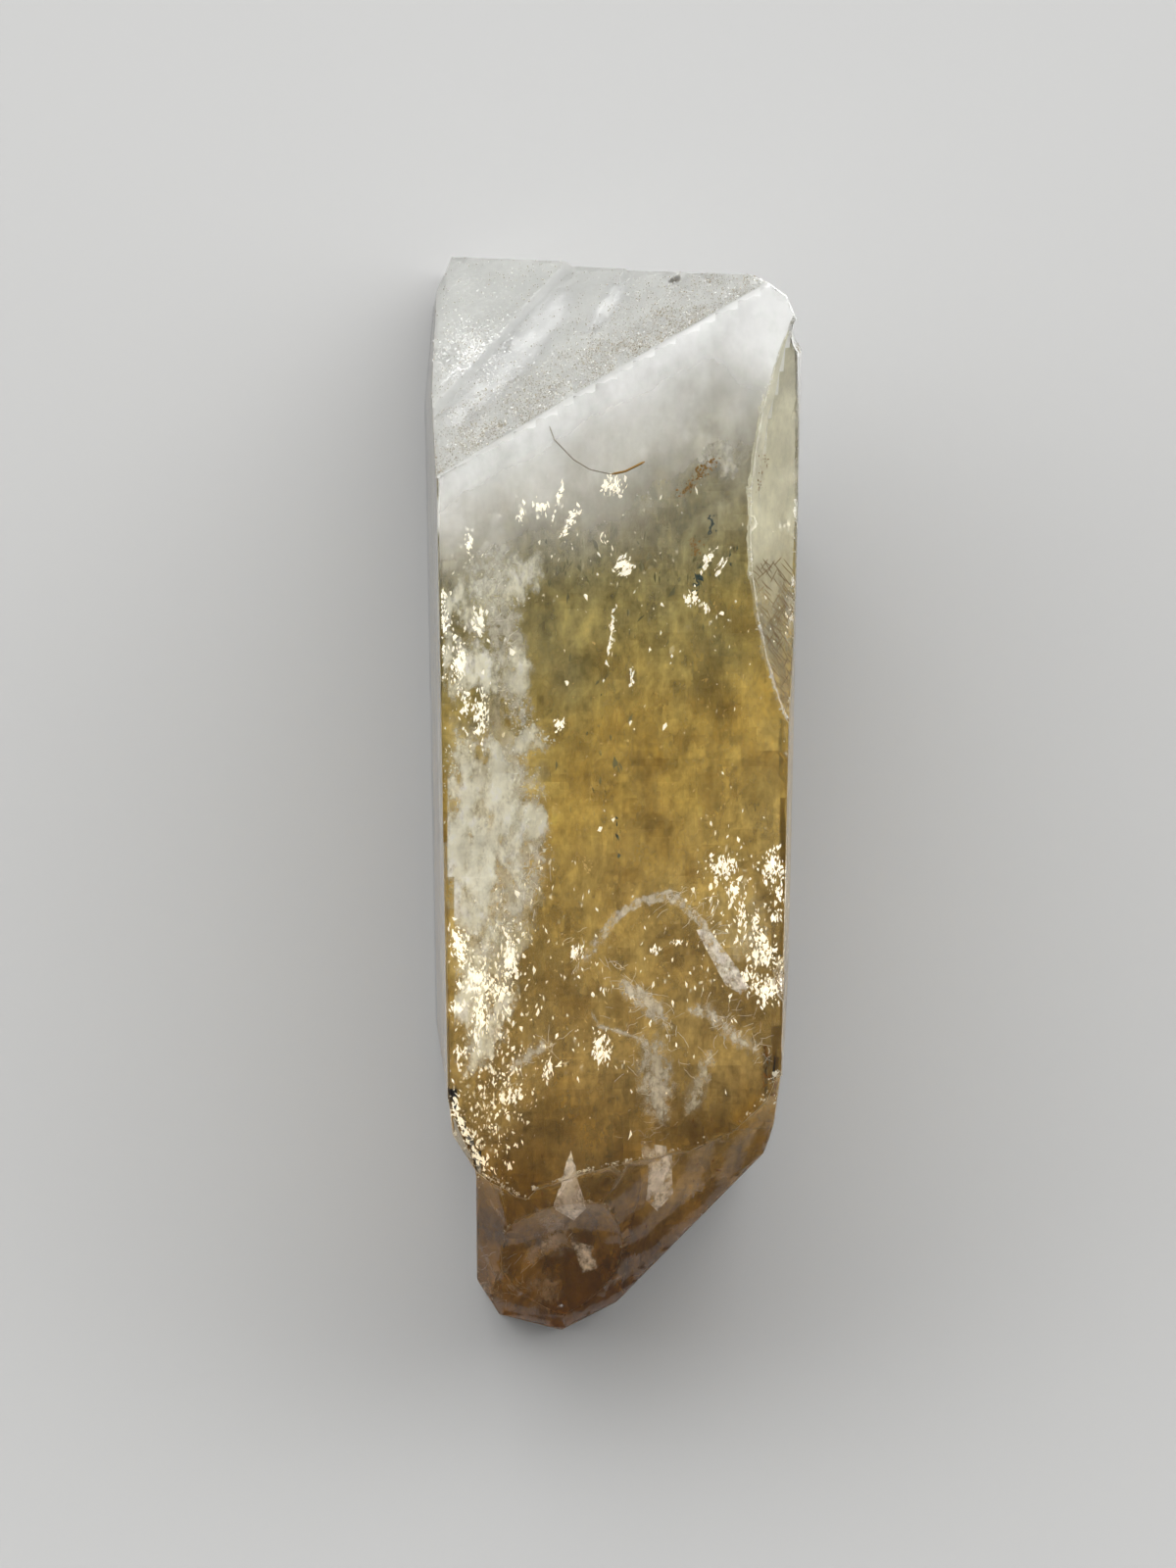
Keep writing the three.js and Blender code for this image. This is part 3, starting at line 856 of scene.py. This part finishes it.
# wave, step and room to the skin of a film, and of the frost's own bands, which follow the skin
filmFit = {"inside": (0.15, 0.35, 0.2), "onSkin": (0, 0.2, 0.02)}
rayHeight = 25                  # rays start this far above the floor, mm


def skinBelow(skinTree, x, y):
    return skinTree.ray_cast(Vector((x, y, rayHeight)) * mm, Vector((0, 0, -1)))


# on the skin, z is mm below it
def filmSheets(name, skinTree):
    onSkin = name.startswith("frost")
    wave, step, margin = filmFit["onSkin" if onSkin else "inside"]
    sheets = []
    for points, rise in films[name]["lines"]:
        place, faces, fade = ribbon(points, rise, wave, step)
        if onSkin:
            for point in place:
                hit = skinBelow(skinTree, point[0], point[1])[0]
                point[2] = hit.z / mm - point[2] if hit else -1
        sheets.append(trimmed((place, faces, fade), skinTree, margin))
    return sheets


# flat little crystals, eight faces each, long way mostly along Y
def flakes(centres, longSide, wideSide, lean, roll):
    n = len(centres)
    u = np.stack([np.sin(lean), np.cos(lean), chance.normal(0, 0.2, n)], 1)
    u /= np.linalg.norm(u, axis=1)[:, None]
    v = np.stack([np.cos(roll) * np.cos(lean), -np.cos(roll) * np.sin(lean), np.sin(roll)], 1)
    w = np.cross(u, v)
    thin = np.minimum(longSide, wideSide) * 0.3
    sizes = (longSide, wideSide, thin)
    place = np.empty((n, 6, 3))
    for k, (axis, size) in enumerate(zip((u, v, w), sizes)):
        place[:, 2 * k] = centres + axis * (size * chance.uniform(0.6, 1.2, n))[:, None]
        place[:, 2 * k + 1] = centres - axis * (size * chance.uniform(0.6, 1.2, n))[:, None]
    place[:, :4] += chance.normal(0, 1, (n, 4, 3)) * (wideSide * 0.3)[:, None, None]
    corners = np.array([(0, 2, 4), (2, 1, 4), (1, 3, 4), (3, 0, 4),
                        (2, 0, 5), (1, 2, 5), (3, 1, 5), (0, 3, 5)])
    faces = (np.arange(n)[:, None, None] * 6 + corners).reshape(-1, 3)
    return place.reshape(-1, 3), faces


def flakesInside(skinTree, centres, sizes, stretch, leans, leanSpread=0.3):
    centres = np.asarray(centres)
    longSide = chance.uniform(*sizes, len(centres)) * chance.uniform(0.4, 1, len(centres))
    kept = depthInside(skinTree, centres) > longSide * 0.8 + 0.05
    centres = centres[kept]
    longSide = longSide[kept]
    n = len(centres)
    wideSide = longSide / chance.uniform(*stretch, n)
    lean = np.radians(np.asarray(leans)[kept]) + chance.normal(0, leanSpread, n)
    return flakes(centres, longSide, wideSide, lean, chance.uniform(-0.9, 0.9, n))


# loose points in fields of x, y, half width, half height and count
def scatter(fields, heights):
    centres = []
    for x, y, halfWidth, halfHeight, count in fields:
        for k in range(count):
            across = x + chance.normal(0, halfWidth * 0.6)
            along = y + chance.normal(0, halfHeight * 0.6)
            centres.append((across, along, chance.uniform(*heights)))
    return centres


# painted glints: bright spots that glow, standing in for lamp light thrown back by inner cracks; x, y,
# width, height in mm and lean in degrees
glints = {
    "look": {"colour": (1.0, 0.96, 0.84), "roughness": 0.3, "glow": 0.5},
    "heights": (11, 16.6),
    "patchHeights": (16.8, 17.05),
    "size": (0.05, 0.26),
    "stretch": (1.3, 4),
    "perSquare": 100,
    "perPatch": (8, 150),
    "patches": [
        (-8.6, 9.1, 0.5, 2.5, 0), (-6.7, 8.8, 0.5, 1.2, 0), (-7.7, 6.5, 0.6, 2.0, 0),
        (-8.6, 7.1, 0.4, 1.2, 0), (-8.7, 5.7, 0.4, 0.5, 0), (-6.6, 4.1, 0.7, 1.8, 0),
        (-7.4, 4.5, 0.25, 1.2, 0), (-3.6, 14.5, 0.7, 0.7, 0), (-4.5, 14.2, 0.4, 0.7, 0),
        (-2.6, 15.1, 0.2, 1.9, 15), (-2.1, 13.7, 0.35, 1.5, 30), (0.1, 15.5, 0.9, 0.9, 0),
        (0.7, 11.6, 0.7, 0.9, 40), (-7.2, 12.8, 0.3, 1.2, 0), (-8.7, 13.5, 0.25, 0.7, 0),
        (0, 8, 0.25, 2.0, 4), (-2.6, 3.5, 0.5, 0.6, 20), (1.0, 6.0, 0.25, 0.9, 0),
        (4.9, 11.9, 0.3, 1.2, 28), (5.6, 11.6, 0.25, 1.1, 30), (4.0, 9.9, 0.6, 0.8, 0),
        (4.8, 9.4, 0.25, 0.5, 0), (-7.6, -7.8, 0.7, 2.0, -20), (-6.8, -9.5, 1.5, 1.0, 0),
        (-6.6, -11, 0.7, 2.4, 0), (-5.6, -10, 1.0, 0.6, 0), (-7.8, -10.7, 0.6, 0.5, 0),
        (-7.6, -13, 0.5, 0.5, 0), (-6.8, -12.4, 0.3, 0.7, 0), (-5.1, -8.3, 0.7, 2.0, 0),
        (-4.9, -15.3, 0.6, 0.6, 0), (-1.7, -8, 0.7, 0.6, 0), (-0.5, -12.9, 0.8, 1.4, 10),
        (-3.2, -14, 0.4, 1.0, 0), (5.7, -3.7, 1.3, 1.0, 0), (8.2, -3.8, 1.0, 1.7, 0),
        (6.1, -4.9, 0.5, 0.8, 0), (6.6, -6.1, 0.4, 1.3, 0), (7.3, -6.4, 0.3, 1.0, 0),
        (8.5, -5.1, 0.3, 0.7, 0), (8.4, -6.2, 0.3, 0.7, 0), (7.5, -7.4, 0.7, 0.9, 0),
        (7.8, -8.3, 1.2, 0.8, 0), (7.0, -9.1, 0.8, 0.5, 0), (7.9, -10, 1.4, 1.2, 0),
        (2.2, -7.9, 0.5, 0.4, 0), (3.3, -7.5, 0.7, 0.25, 0), (-7.6, -16.6, 0.4, 2.4, -20),
        (-6.8, -18.2, 0.4, 1.4, -30),
    ],
    # looser painted sparkle, glowing like the glints: x, y, half width, half height, count
    "sparkle": [
        (-7.2, 7, 1.6, 6, 200), (-6.2, -10.5, 2.0, 4.5, 420), (6.6, -6.5, 2.2, 4, 300),
        (-1, 12, 4, 4, 110), (0, -11, 4, 5, 150), (-6, -15.5, 1.8, 3.4, 420), (4, 8, 4, 5, 60),
        (-4, -4, 3, 5, 90), (8.2, 13.7, 0.4, 0.5, 60), (8.3, 9, 0.5, 3, 40),
    ],
}


def glintFlakes(skinTree):
    centres = []
    leans = []
    for x, y, width, height, lean in glints["patches"]:
        count = int(np.clip(width * height * glints["perSquare"], *glints["perPatch"]))
        middle = chance.uniform(*glints["patchHeights"])
        turn = math.radians(lean)
        for k in range(count):
            a, b = chance.normal(0, 0.3, 2) * (width, height)
            across = x + a * math.cos(turn) + b * math.sin(turn)
            along = y - a * math.sin(turn) + b * math.cos(turn)
            centres.append((across, along, middle + chance.normal(0, 0.15)))
            leans.append(lean)
    loose = scatter(glints["sparkle"], glints["heights"])
    centres += loose
    leans += [0] * len(loose)
    return flakesInside(skinTree, centres, glints["size"], glints["stretch"], leans)


# grains along lines of x, y, z, width, and loose in fields of x, y, half width, half height, count
grains = {
    "whiteVeils": {
        "colour": (0.90, 0.91, 0.90), "size": (0.03, 0.12), "stretch": (1, 2),
        "perSquare": 45, "turn": 1.2,
        "lines": [
            [(-6.1, 15.5, 15, 0.5), (-5.8, 13.3, 15, 0.7), (-5.9, 10.7, 15.4, 1.7),
             (-5.4, 8.8, 15, 1.0), (-5.2, 7, 15, 0.9), (-4.9, 4.9, 15, 1.0), (-4.5, 3.4, 15.2, 1.2),
             (-3.1, 2.6, 15.4, 0.9)],
            [(-4.3, 3.2, 15, 0.8), (-5, 1.5, 14.8, 1.5), (-4.6, -1, 14.6, 2.0), (-4.1, -3.5, 14.4, 1.4),
             (-5.2, -6, 14.2, 1.5), (-5.6, -7.5, 14, 0.8)],
            [(-8.2, 2.5, 14, 0.8), (-7.6, 0, 14, 1.4), (-7.2, -3.5, 13.8, 1.4), (-6.6, -6, 13.5, 1.0)],
        ],
        "fields": [(-6, -2, 1.6, 4.5, 500), (-1, 18.5, 2.5, 2, 300), (0, 16, 3, 1.5, 160)],
        "heights": (12, 16.2),
    },
    "goldPlates": {
        "colour": (0.66, 0.50, 0.22), "size": (0.04, 0.16), "stretch": (1, 4),
        "perSquare": 60, "turn": 0.5,
        "lines": [
            [(-1.3, -3.2, 14, 0.5), (-1.2, -3.9, 14, 0.4)],
            [(-2.8, -6.7, 14, 0.3), (-2.6, -7, 14, 0.3)],
            [(5.2, 9.7, 14, 0.3), (5.4, 9.3, 14, 0.3)],
        ],
        "fields": [(5.5, 3, 2.4, 6, 300), (0.5, 0, 3, 6, 300), (1.5, -9, 4, 4, 320),
                   (-2, -12, 3, 3, 160)],
        "heights": (5, 15.5),
    },
    "olivePlates": {
        "colour": (0.20, 0.19, 0.10), "size": (0.08, 0.5), "stretch": (2.5, 7),
        "perSquare": 20, "turn": 0.3,
        "lines": [[(-3.7, 15.9, 15, 0.3), (-3.6, 15, 15, 0.3)]],
        "fields": [(-2.2, 11.5, 2, 2, 130), (2.5, 10, 2.5, 3, 90), (4.5, 11.5, 1.2, 1.8, 60),
                   (-1, 4, 2, 4, 60)],
        "heights": (8, 15.5),
    },
    "brownPlates": {
        "colour": (0.22, 0.11, 0.03), "size": (0.06, 0.4), "stretch": (2, 5),
        "perSquare": 25, "turn": 0.6,
        "lines": [
            [(-8.75, -8.8, 13, 0.15), (-8.6, -13.6, 13, 0.2)],
            [(8.0, -13, 13, 0.3), (7.8, -15, 13, 0.3)],
        ],
        "fields": [(-1, -23, 3, 3, 120), (4, -18, 2, 2, 40)],
        "heights": (4, 14),
    },
    "ironStains": {
        "colour": (0.30, 0.165, 0.045), "size": (0.05, 0.16), "stretch": (1, 2.5),
        "perSquare": 110, "turn": 1,
        "lines": [
            [(5.2, 16.9, 17.1, 0.5), (4.6, 16.3, 17.1, 0.75), (4.2, 15.8, 17.1, 0.6),
             (3.5, 15.1, 17, 0.3)],
            [(7.75, 17.1, 16.7, 0.5), (7.55, 16.3, 16.8, 0.5), (7.4, 15.2, 16.95, 0.4)],
            [(4.1, 12.9, 15.6, 0.3), (4.4, 12.4, 15.6, 0.5), (4.2, 12, 15.5, 0.3)],
        ],
        "fields": [],
        "heights": (14, 16),
    },
    "darkShards": {
        "colour": (0.05, 0.08, 0.08), "size": (0.08, 0.3), "stretch": (1.5, 3.5),
        "perSquare": 40, "turn": 0.4,
        "lines": [
            [(5.1, 14, 15.4, 0.3), (5.1, 13.2, 15.4, 0.25)],
            [(4.5, 11.6, 15, 0.4), (4.3, 10, 15, 0.4)],
            [(6.2, 12.6, 15, 0.2), (6.1, 11.6, 15, 0.2)],
            [(0.3, -1.2, 15, 0.08), (0.3, -3.2, 15, 0.08)],
            [(1, 5.6, 15, 0.15), (1, 6.4, 15, 0.15)],
        ],
        "fields": [],
        "heights": (13, 16),
    },
}


def grainFlakes(skinTree, spec):
    centres = []
    step = 0.1
    for line in spec["lines"]:
        for x, y, z, width in resample(line, step):
            for k in range(chance.poisson(width * step * spec["perSquare"])):
                across = x + chance.normal(0, 0.32) * width
                along = y + chance.uniform(-step, step)
                centres.append((across, along, z + chance.normal(0, 0.25)))
    centres += scatter(spec["fields"], spec["heights"])
    leans = np.zeros(len(centres))
    return flakesInside(skinTree, centres, spec["size"], spec["stretch"], leans, spec["turn"])


# crumbs that whiten the worn edges, just under the skin
edgeCrumbs = {
    "colour": (0.86, 0.86, 0.83),
    "count": 2600,
    "below": 0.1,
    "spread": 0.07,
    "size": (0.03, 0.13),
    # how thick they lie along the slanting edge, the ledge of the foot and the other edges
    "slantShare": 0.25,
    "ledgeShare": 0.8,
    "otherShare": 0.03,
}


def crumbFlakes(skin, skinTree):
    ends = np.empty(len(skin.data.edges) * 2, int)
    skin.data.edges.foreach_get("vertices", ends)
    ends = ends.reshape(-1, 2)
    worn = readAttribute(skin.data, "worn") > 0.5
    ends = ends[worn[ends].all(1)]
    corners = placesOf(skin.data)
    middle = corners[ends].mean(1)
    clumps = np.array([noise.noise(Vector(p) * 0.6) for p in middle])
    x, y, z = middle.T
    nearSlant = np.abs(frostPlane(x, y) - frontHeight) < 0.7
    atEnd = (y > 15) * (edgeCrumbs["slantShare"] * nearSlant + (x > 6.5) * (z > 13))
    atLedge = (y < -13) * (z > 13)
    atFlake = (y > 2) * (x > 6) * (z > 12)
    most = np.maximum(np.maximum(atEnd, edgeCrumbs["ledgeShare"] * atLedge),
                      np.maximum(atFlake, edgeCrumbs["otherShare"]))
    lengths = np.linalg.norm(np.diff(corners[ends], axis=1)[:, 0], axis=1)
    bias = np.clip(0.25 + clumps, 0.02, 1) * most * lengths
    picked = chance.choice(len(ends), edgeCrumbs["count"], p=bias / bias.sum())
    share = chance.random((len(picked), 1))
    centres = corners[ends[picked, 0]] * share + corners[ends[picked, 1]] * (1 - share)
    inward = facingOf(skin.data)[ends[picked, 0]] * edgeCrumbs["below"]
    centres += chance.normal(0, edgeCrumbs["spread"], (len(picked), 3)) - inward
    return flakesInside(skinTree, centres, edgeCrumbs["size"], (1, 2), np.zeros(len(centres)), 1.5)


# sand on the frosted face, thickest along its lower edge and on the crumbled step at the left
sands = {
    "frostSand": {"tint": "sandWhite", "colour": (0.88, 0.88, 0.86), "count": 7000, "onStep": 3},
    "frostGrit": {"tint": "sandTan", "colour": (0.30, 0.26, 0.19), "count": 12000, "onStep": 0.1},
}
sandSize = (0.018, 0.05)
sandReach = 9.6                 # mm each way across the crystal
crumbledStep = (-7.2, 22.6, 1.4, 1.1)       # middle x and y, half width and half height in mm


def sandFlakes(skin, skinTree, count, onStep):
    frosted = np.flatnonzero(readAttribute(skin.data, "frosted") > 0.85)
    place = placesOf(skin.data)[frosted]
    facing = facingOf(skin.data)[frosted]
    low = np.clip(1 - (frontHeight - place[:, 2]) / 7, 0, 1) ** 2
    x, y, halfWidth, halfHeight = crumbledStep
    step = np.exp(-((place[:, 0] - x) / halfWidth) ** 2 - ((place[:, 1] - y) / halfHeight) ** 2)
    clumps = np.clip(0.5 + np.array([noise.noise(Vector(p) * 0.9) for p in place]), 0.05, 1)
    bias = (facing[:, 2] > 0.2) * (0.03 + low * clumps + onStep * step)
    picked = chance.choice(len(place), count, p=bias / bias.sum())
    across = facing[picked]
    spread = chance.normal(0, 0.4, (count, 3))
    centres = place[picked] + spread - across * (spread * across).sum(1)[:, None]
    onSkin = np.array([skinTree.find_nearest(Vector(p) * mm)[3] / mm < 0.04 for p in centres])
    withinSkin = (centres[:, 2] < frontHeight - 0.1) * (np.abs(centres[:, 0]) < sandReach)
    centres = centres[onSkin * withinSkin]
    n = len(centres)
    longSide = chance.uniform(*sandSize, n)
    lean = chance.uniform(-3, 3, n)
    roll = chance.uniform(-0.9, 0.9, n)
    return flakes(centres, longSide, longSide * 0.8, lean, roll)


# fine broken ribs across the lower half of the flake
hackle = {
    "colour": (0.17, 0.11, 0.04),
    "from": 3.4,
    "to": 12,
    "every": 0.12,
    "across": (7.1, 9.2),
    "lengths": (0.4, 1),
    "leans": ((-40, 8), (35, 8)),       # usual and other lean, each with its spread, degrees
    "usualShare": 0.75,
    "radius": 0.024,
    "below": 0.02,                      # mm under the skin
}


def hackleThreads(skinTree):
    threads = []
    usual, other = hackle["leans"]
    for y in np.repeat(np.arange(hackle["from"], hackle["to"], hackle["every"]), 2):
        x = chance.uniform(*hackle["across"])
        leanAndSpread = usual if chance.random() < hackle["usualShare"] else other
        lean = math.radians(chance.normal(*leanAndSpread))
        points = []
        for step in np.linspace(0, chance.uniform(*hackle["lengths"]), 7):
            across = x + step * abs(math.sin(lean))
            along = y + step * math.copysign(math.cos(lean), lean)
            hit, facing, _, _ = skinBelow(skinTree, across, along)
            if hit and facing.x > 0.3 and facing.z > 0.3:
                points.append(np.array(hit - hackle["below"] * mm * facing) / mm)
        if len(points) > 2:
            threads.append(thread(points, hackle["radius"]))
    return threads


# a thin four-sided thread through points, closed at both ends
def thread(points, radius):
    points = np.asarray(points, float)
    ahead = np.gradient(points, axis=0)
    side = np.cross(ahead, (0.3, 0.2, 1))
    side /= np.linalg.norm(side, axis=1)[:, None]
    up = np.cross(side, ahead)
    up /= np.linalg.norm(up, axis=1)[:, None]
    turns = np.arange(4) * math.pi / 2
    ring = np.cos(turns)[None, :, None] * side[:, None] + np.sin(turns)[None, :, None] * up[:, None]
    size = np.full(len(points), radius)
    size[[0, -1]] *= 0.4
    place = (points[:, None] + ring * size[:, None, None]).reshape(-1, 3)
    n = len(points)
    start = np.arange(n - 1)[:, None] * 4
    k = np.arange(4)[None]
    after = (k + 1) % 4
    sides = np.stack([start + k, start + 4 + k, start + 4 + after, start + after], 2).reshape(-1, 4)
    caps = np.array([[0, 1, 2, 3], [4 * n - 1, 4 * n - 2, 4 * n - 3, 4 * n - 4]])
    return place, np.concatenate([sides, caps])


# wisps: line of x, y, z, then their spread, count and length in mm, and their usual lean in degrees
wisps = {
    "colour": (0.80, 0.79, 0.80),
    "radius": (0.006, 0.013),
    "margin": 0.08,
    "lines": [
        ([(2.4, -5.6, 14.5), (3.6, -5.1, 14.6), (4.8, -6.2, 14.6),
          (5.2, -7.5, 14.4)], 0.3, 40, 0.9, 60),
        ([(0.3, -8.6, 14.5), (0.8, -9.8, 14.5), (1.9, -10.6, 14.4),
          (3.2, -11.7, 14.2)], 0.28, 66, 1.0, -50),
        ([(1.4, -11.5, 13.5), (1.9, -15, 13), (2.3, -18, 12.5)], 0.8, 73, 0.7, 75),
        ([(4.9, -10.8, 14), (6.8, -12, 13.6), (8, -13.5, 13)], 0.5, 43, 0.8, 45),
        ([(-5.4, -14.2, 14.5), (-2.8, -12.5, 14.5)], 0.22, 16, 1.0, 60),
        ([(-1.6, -6.8, 14.6), (-1.6, -9.2, 14.6)], 0.3, 13, 0.8, 30),
        ([(-4.7, -0.8, 15.2), (-3.9, -3, 15.2), (-4.4, -5.6, 15)], 0.55, 43, 0.9, 0),
        ([(-6, 12.5, 15.6), (-5.4, 9, 15.6), (-4.9, 4.5, 15.6)], 0.5, 33, 0.9, 10),
        ([(-6.7, -22.4, 10.5), (-5.5, -24.1, 9.6), (-4.7, -24, 9.6), (-3.3, -22.6, 10.4),
          (-2, -22, 10.8)], 0.15, 30, 0.7, 40),
        ([(-6.4, -24.7, 9), (-5.3, -25.5, 8.6)], 0.1, 10, 0.6, -50),
        ([(-5.2, -24.6, 9), (-3.4, -26, 8.4)], 0.1, 13, 0.7, -50),
        ([(2, -12.5, 14), (5.5, -14.5, 13)], 0.8, 16, 0.9, 20),
    ],
}


def wispThreads(skinTree):
    threads = []
    for line, spread, count, length, lean in wisps["lines"]:
        spine = resample(line, 0.1)
        for k in range(count):
            point = spine[chance.integers(len(spine))] + chance.normal(0, 1, 3) * (spread, spread, 0.3)
            turn = math.radians(lean) + chance.normal(0, 0.6) + math.pi * chance.integers(2)
            points = []
            for step in range(int(chance.uniform(4, 9))):
                points.append(point)
                turn += chance.normal(0, 0.2)
                ahead = np.array([math.sin(turn), math.cos(turn), chance.normal(0, 0.3)])
                point = point + ahead * length / 7
            if depthInside(skinTree, points).min() > wisps["margin"]:
                threads.append(thread(points, chance.uniform(*wisps["radius"])))
    return threads


# flat healed faces that show as pale panes, brightened by a painted glow: corners in x and y, height in
# mm, and how closed the rim is
palePanes = {
    "look": {"colour": (0.95, 0.92, 0.95), "glow": 0.2, "grain": 2400, "stretch": 0.8, "cover": 0.66,
             "soft": 0.2, "thickness": 0.95, "contrast": 0.4},
    "margin": 0.02,
    "slope": (0.25, 0.2),       # climb to the right and towards the chisel end
    "shapes": [
        ([(-2.05, -18.1), (-1.25, -20.8), (-1.9, -21.7), (-2.9, -20.7)], 13.4, 0.85),
        ([(1.5, -17.7), (2.8, -17.9), (3.1, -20.3), (2.3, -21.2), (1.6, -20.4)], 12.8, 0.72),
        ([(-2.0, -22.5), (-0.9, -22.8), (-0.6, -24.2), (-1.5, -24.5)], 10.9, 0.55),
        ([(4.3, -6.9), (4.9, -6.8), (6.4, -8.8), (7.0, -9.8), (6.6, -10.2), (5.8, -9.7)], 15.3, 0.72),
    ],
}


# a fan round the middle, so that the pane thins out to its rim
def paneMesh(corners, height, rimFade):
    corners = np.asarray(corners, float)
    n = len(corners)
    right, ahead = palePanes["slope"]
    x, y = corners.T
    tilt = right * (x - x.mean()) + ahead * (y - y.mean())
    place = np.concatenate([np.c_[corners, height + tilt], [(*corners.mean(0), height)]])
    faces = np.array([(k, (k + 1) % n, n) for k in range(n)])
    return place, faces, np.r_[np.full(n, rimFade), 1]


# dust fibre on the front face, thin at its left and thick at its right
fibre = {
    "thin": {
        "colour": (0.22, 0.20, 0.16), "radius": 0.035,
        "line": [(-3.13, 18.6), (-2.87, 17.9), (-1.9, 16.9), (-1.08, 16.4), (0.03, 16.15)],
    },
    "thick": {
        "colour": (0.20, 0.115, 0.035), "radius": 0.06,
        "line": [(0.0, 16.16), (0.7, 16.3), (1.3, 16.6), (1.7, 16.8)],
    },
}


def makeFibre():
    height = frontHeight - 0.01
    for name, part in fibre.items():
        line = resample([(x, y, height) for x, y in part["line"]], 0.15)
        dust = plainMaterial(name + "Dust", part["colour"], 0.7)
        pieceFrom(name + "Fibre", [thread(line, part["radius"])], dust)


def makeHazes(skin, skinTree, cloud):
    body = cloudMaterial("honeyBody", cloud, zoneGroup(), **honey["look"])
    pieceFrom("honeyCloud", honeySheets(skinTree), body)
    frosty, mistAndPaintedGlow, flaked = [cloudMaterial(name, cloud, **look) for name, look in milk["looks"].items()]
    sheets = [trimmed(sheet, skinTree, -0.01) for sheet in sunkenFaces(skin, skinTree)]
    frontFrost, backFrost, corner, flake = sheets
    front = [trimmed(frontMilk(*layer), skinTree, 0.05) for layer in milk["layers"]]
    pieceFrom("frostHaze", [frontFrost, backFrost], frosty)
    pieceFrom("frontHaze", front, mistAndPaintedGlow)
    pieceFrom("cornerHaze", [corner], mistAndPaintedGlow)
    pieceFrom("flakeHaze", [flake], flaked)


def makeVeils(skinTree, cloud):
    pale = cloudMaterial("paleVeilTint", cloud, **paleVeil["look"])
    patches = [trimmed(veilPatch(*patch), skinTree, paleVeil["margin"]) for patch in paleVeil["patches"]]
    pieceFrom("paleVeil", patches, pale)
    for name, film in films.items():
        tint = cloudMaterial(name + "Tint", cloud, stretch=0.7, contrast=0.25, **film["look"])
        pieceFrom(name, filmSheets(name, skinTree), tint)
    panesAndPaintedGlow = cloudMaterial("palePanesTintAndPaintedGlow", cloud, **palePanes["look"])
    shapes = [trimmed(paneMesh(*shape), skinTree, palePanes["margin"]) for shape in palePanes["shapes"]]
    pieceFrom("palePanes", shapes, panesAndPaintedGlow)


def makeGrains(skin, skinTree):
    pieceFrom("glints", [glintFlakes(skinTree)], plainMaterial("paintedGlintGlow", **glints["look"]))
    for name, spec in grains.items():
        pieceFrom(name, [grainFlakes(skinTree, spec)], plainMaterial(name + "Tint", spec["colour"]))
    white = plainMaterial("crumbWhite", edgeCrumbs["colour"])
    pieceFrom("edgeCrumbs", [crumbFlakes(skin, skinTree)], white)
    for name, sand in sands.items():
        grit = sandFlakes(skin, skinTree, sand["count"], sand["onStep"])
        pieceFrom(name, [grit], plainMaterial(sand["tint"], sand["colour"]))
    pieceFrom("hackle", hackleThreads(skinTree), plainMaterial("hackleTan", hackle["colour"]))
    pieceFrom("wisps", wispThreads(skinTree), plainMaterial("wispWhite", wisps["colour"]))


def makeInside(skin):
    skinTree = BVHTree.FromObject(skin, bpy.context.evaluated_depsgraph_get())
    cloud = cloudGroup()
    makeHazes(skin, skinTree, cloud)
    makeVeils(skinTree, cloud)
    makeGrains(skin, skinTree)


placeCamera()
makeStudio()
skin = makeCrystal()
makeInside(skin)
makeFibre()
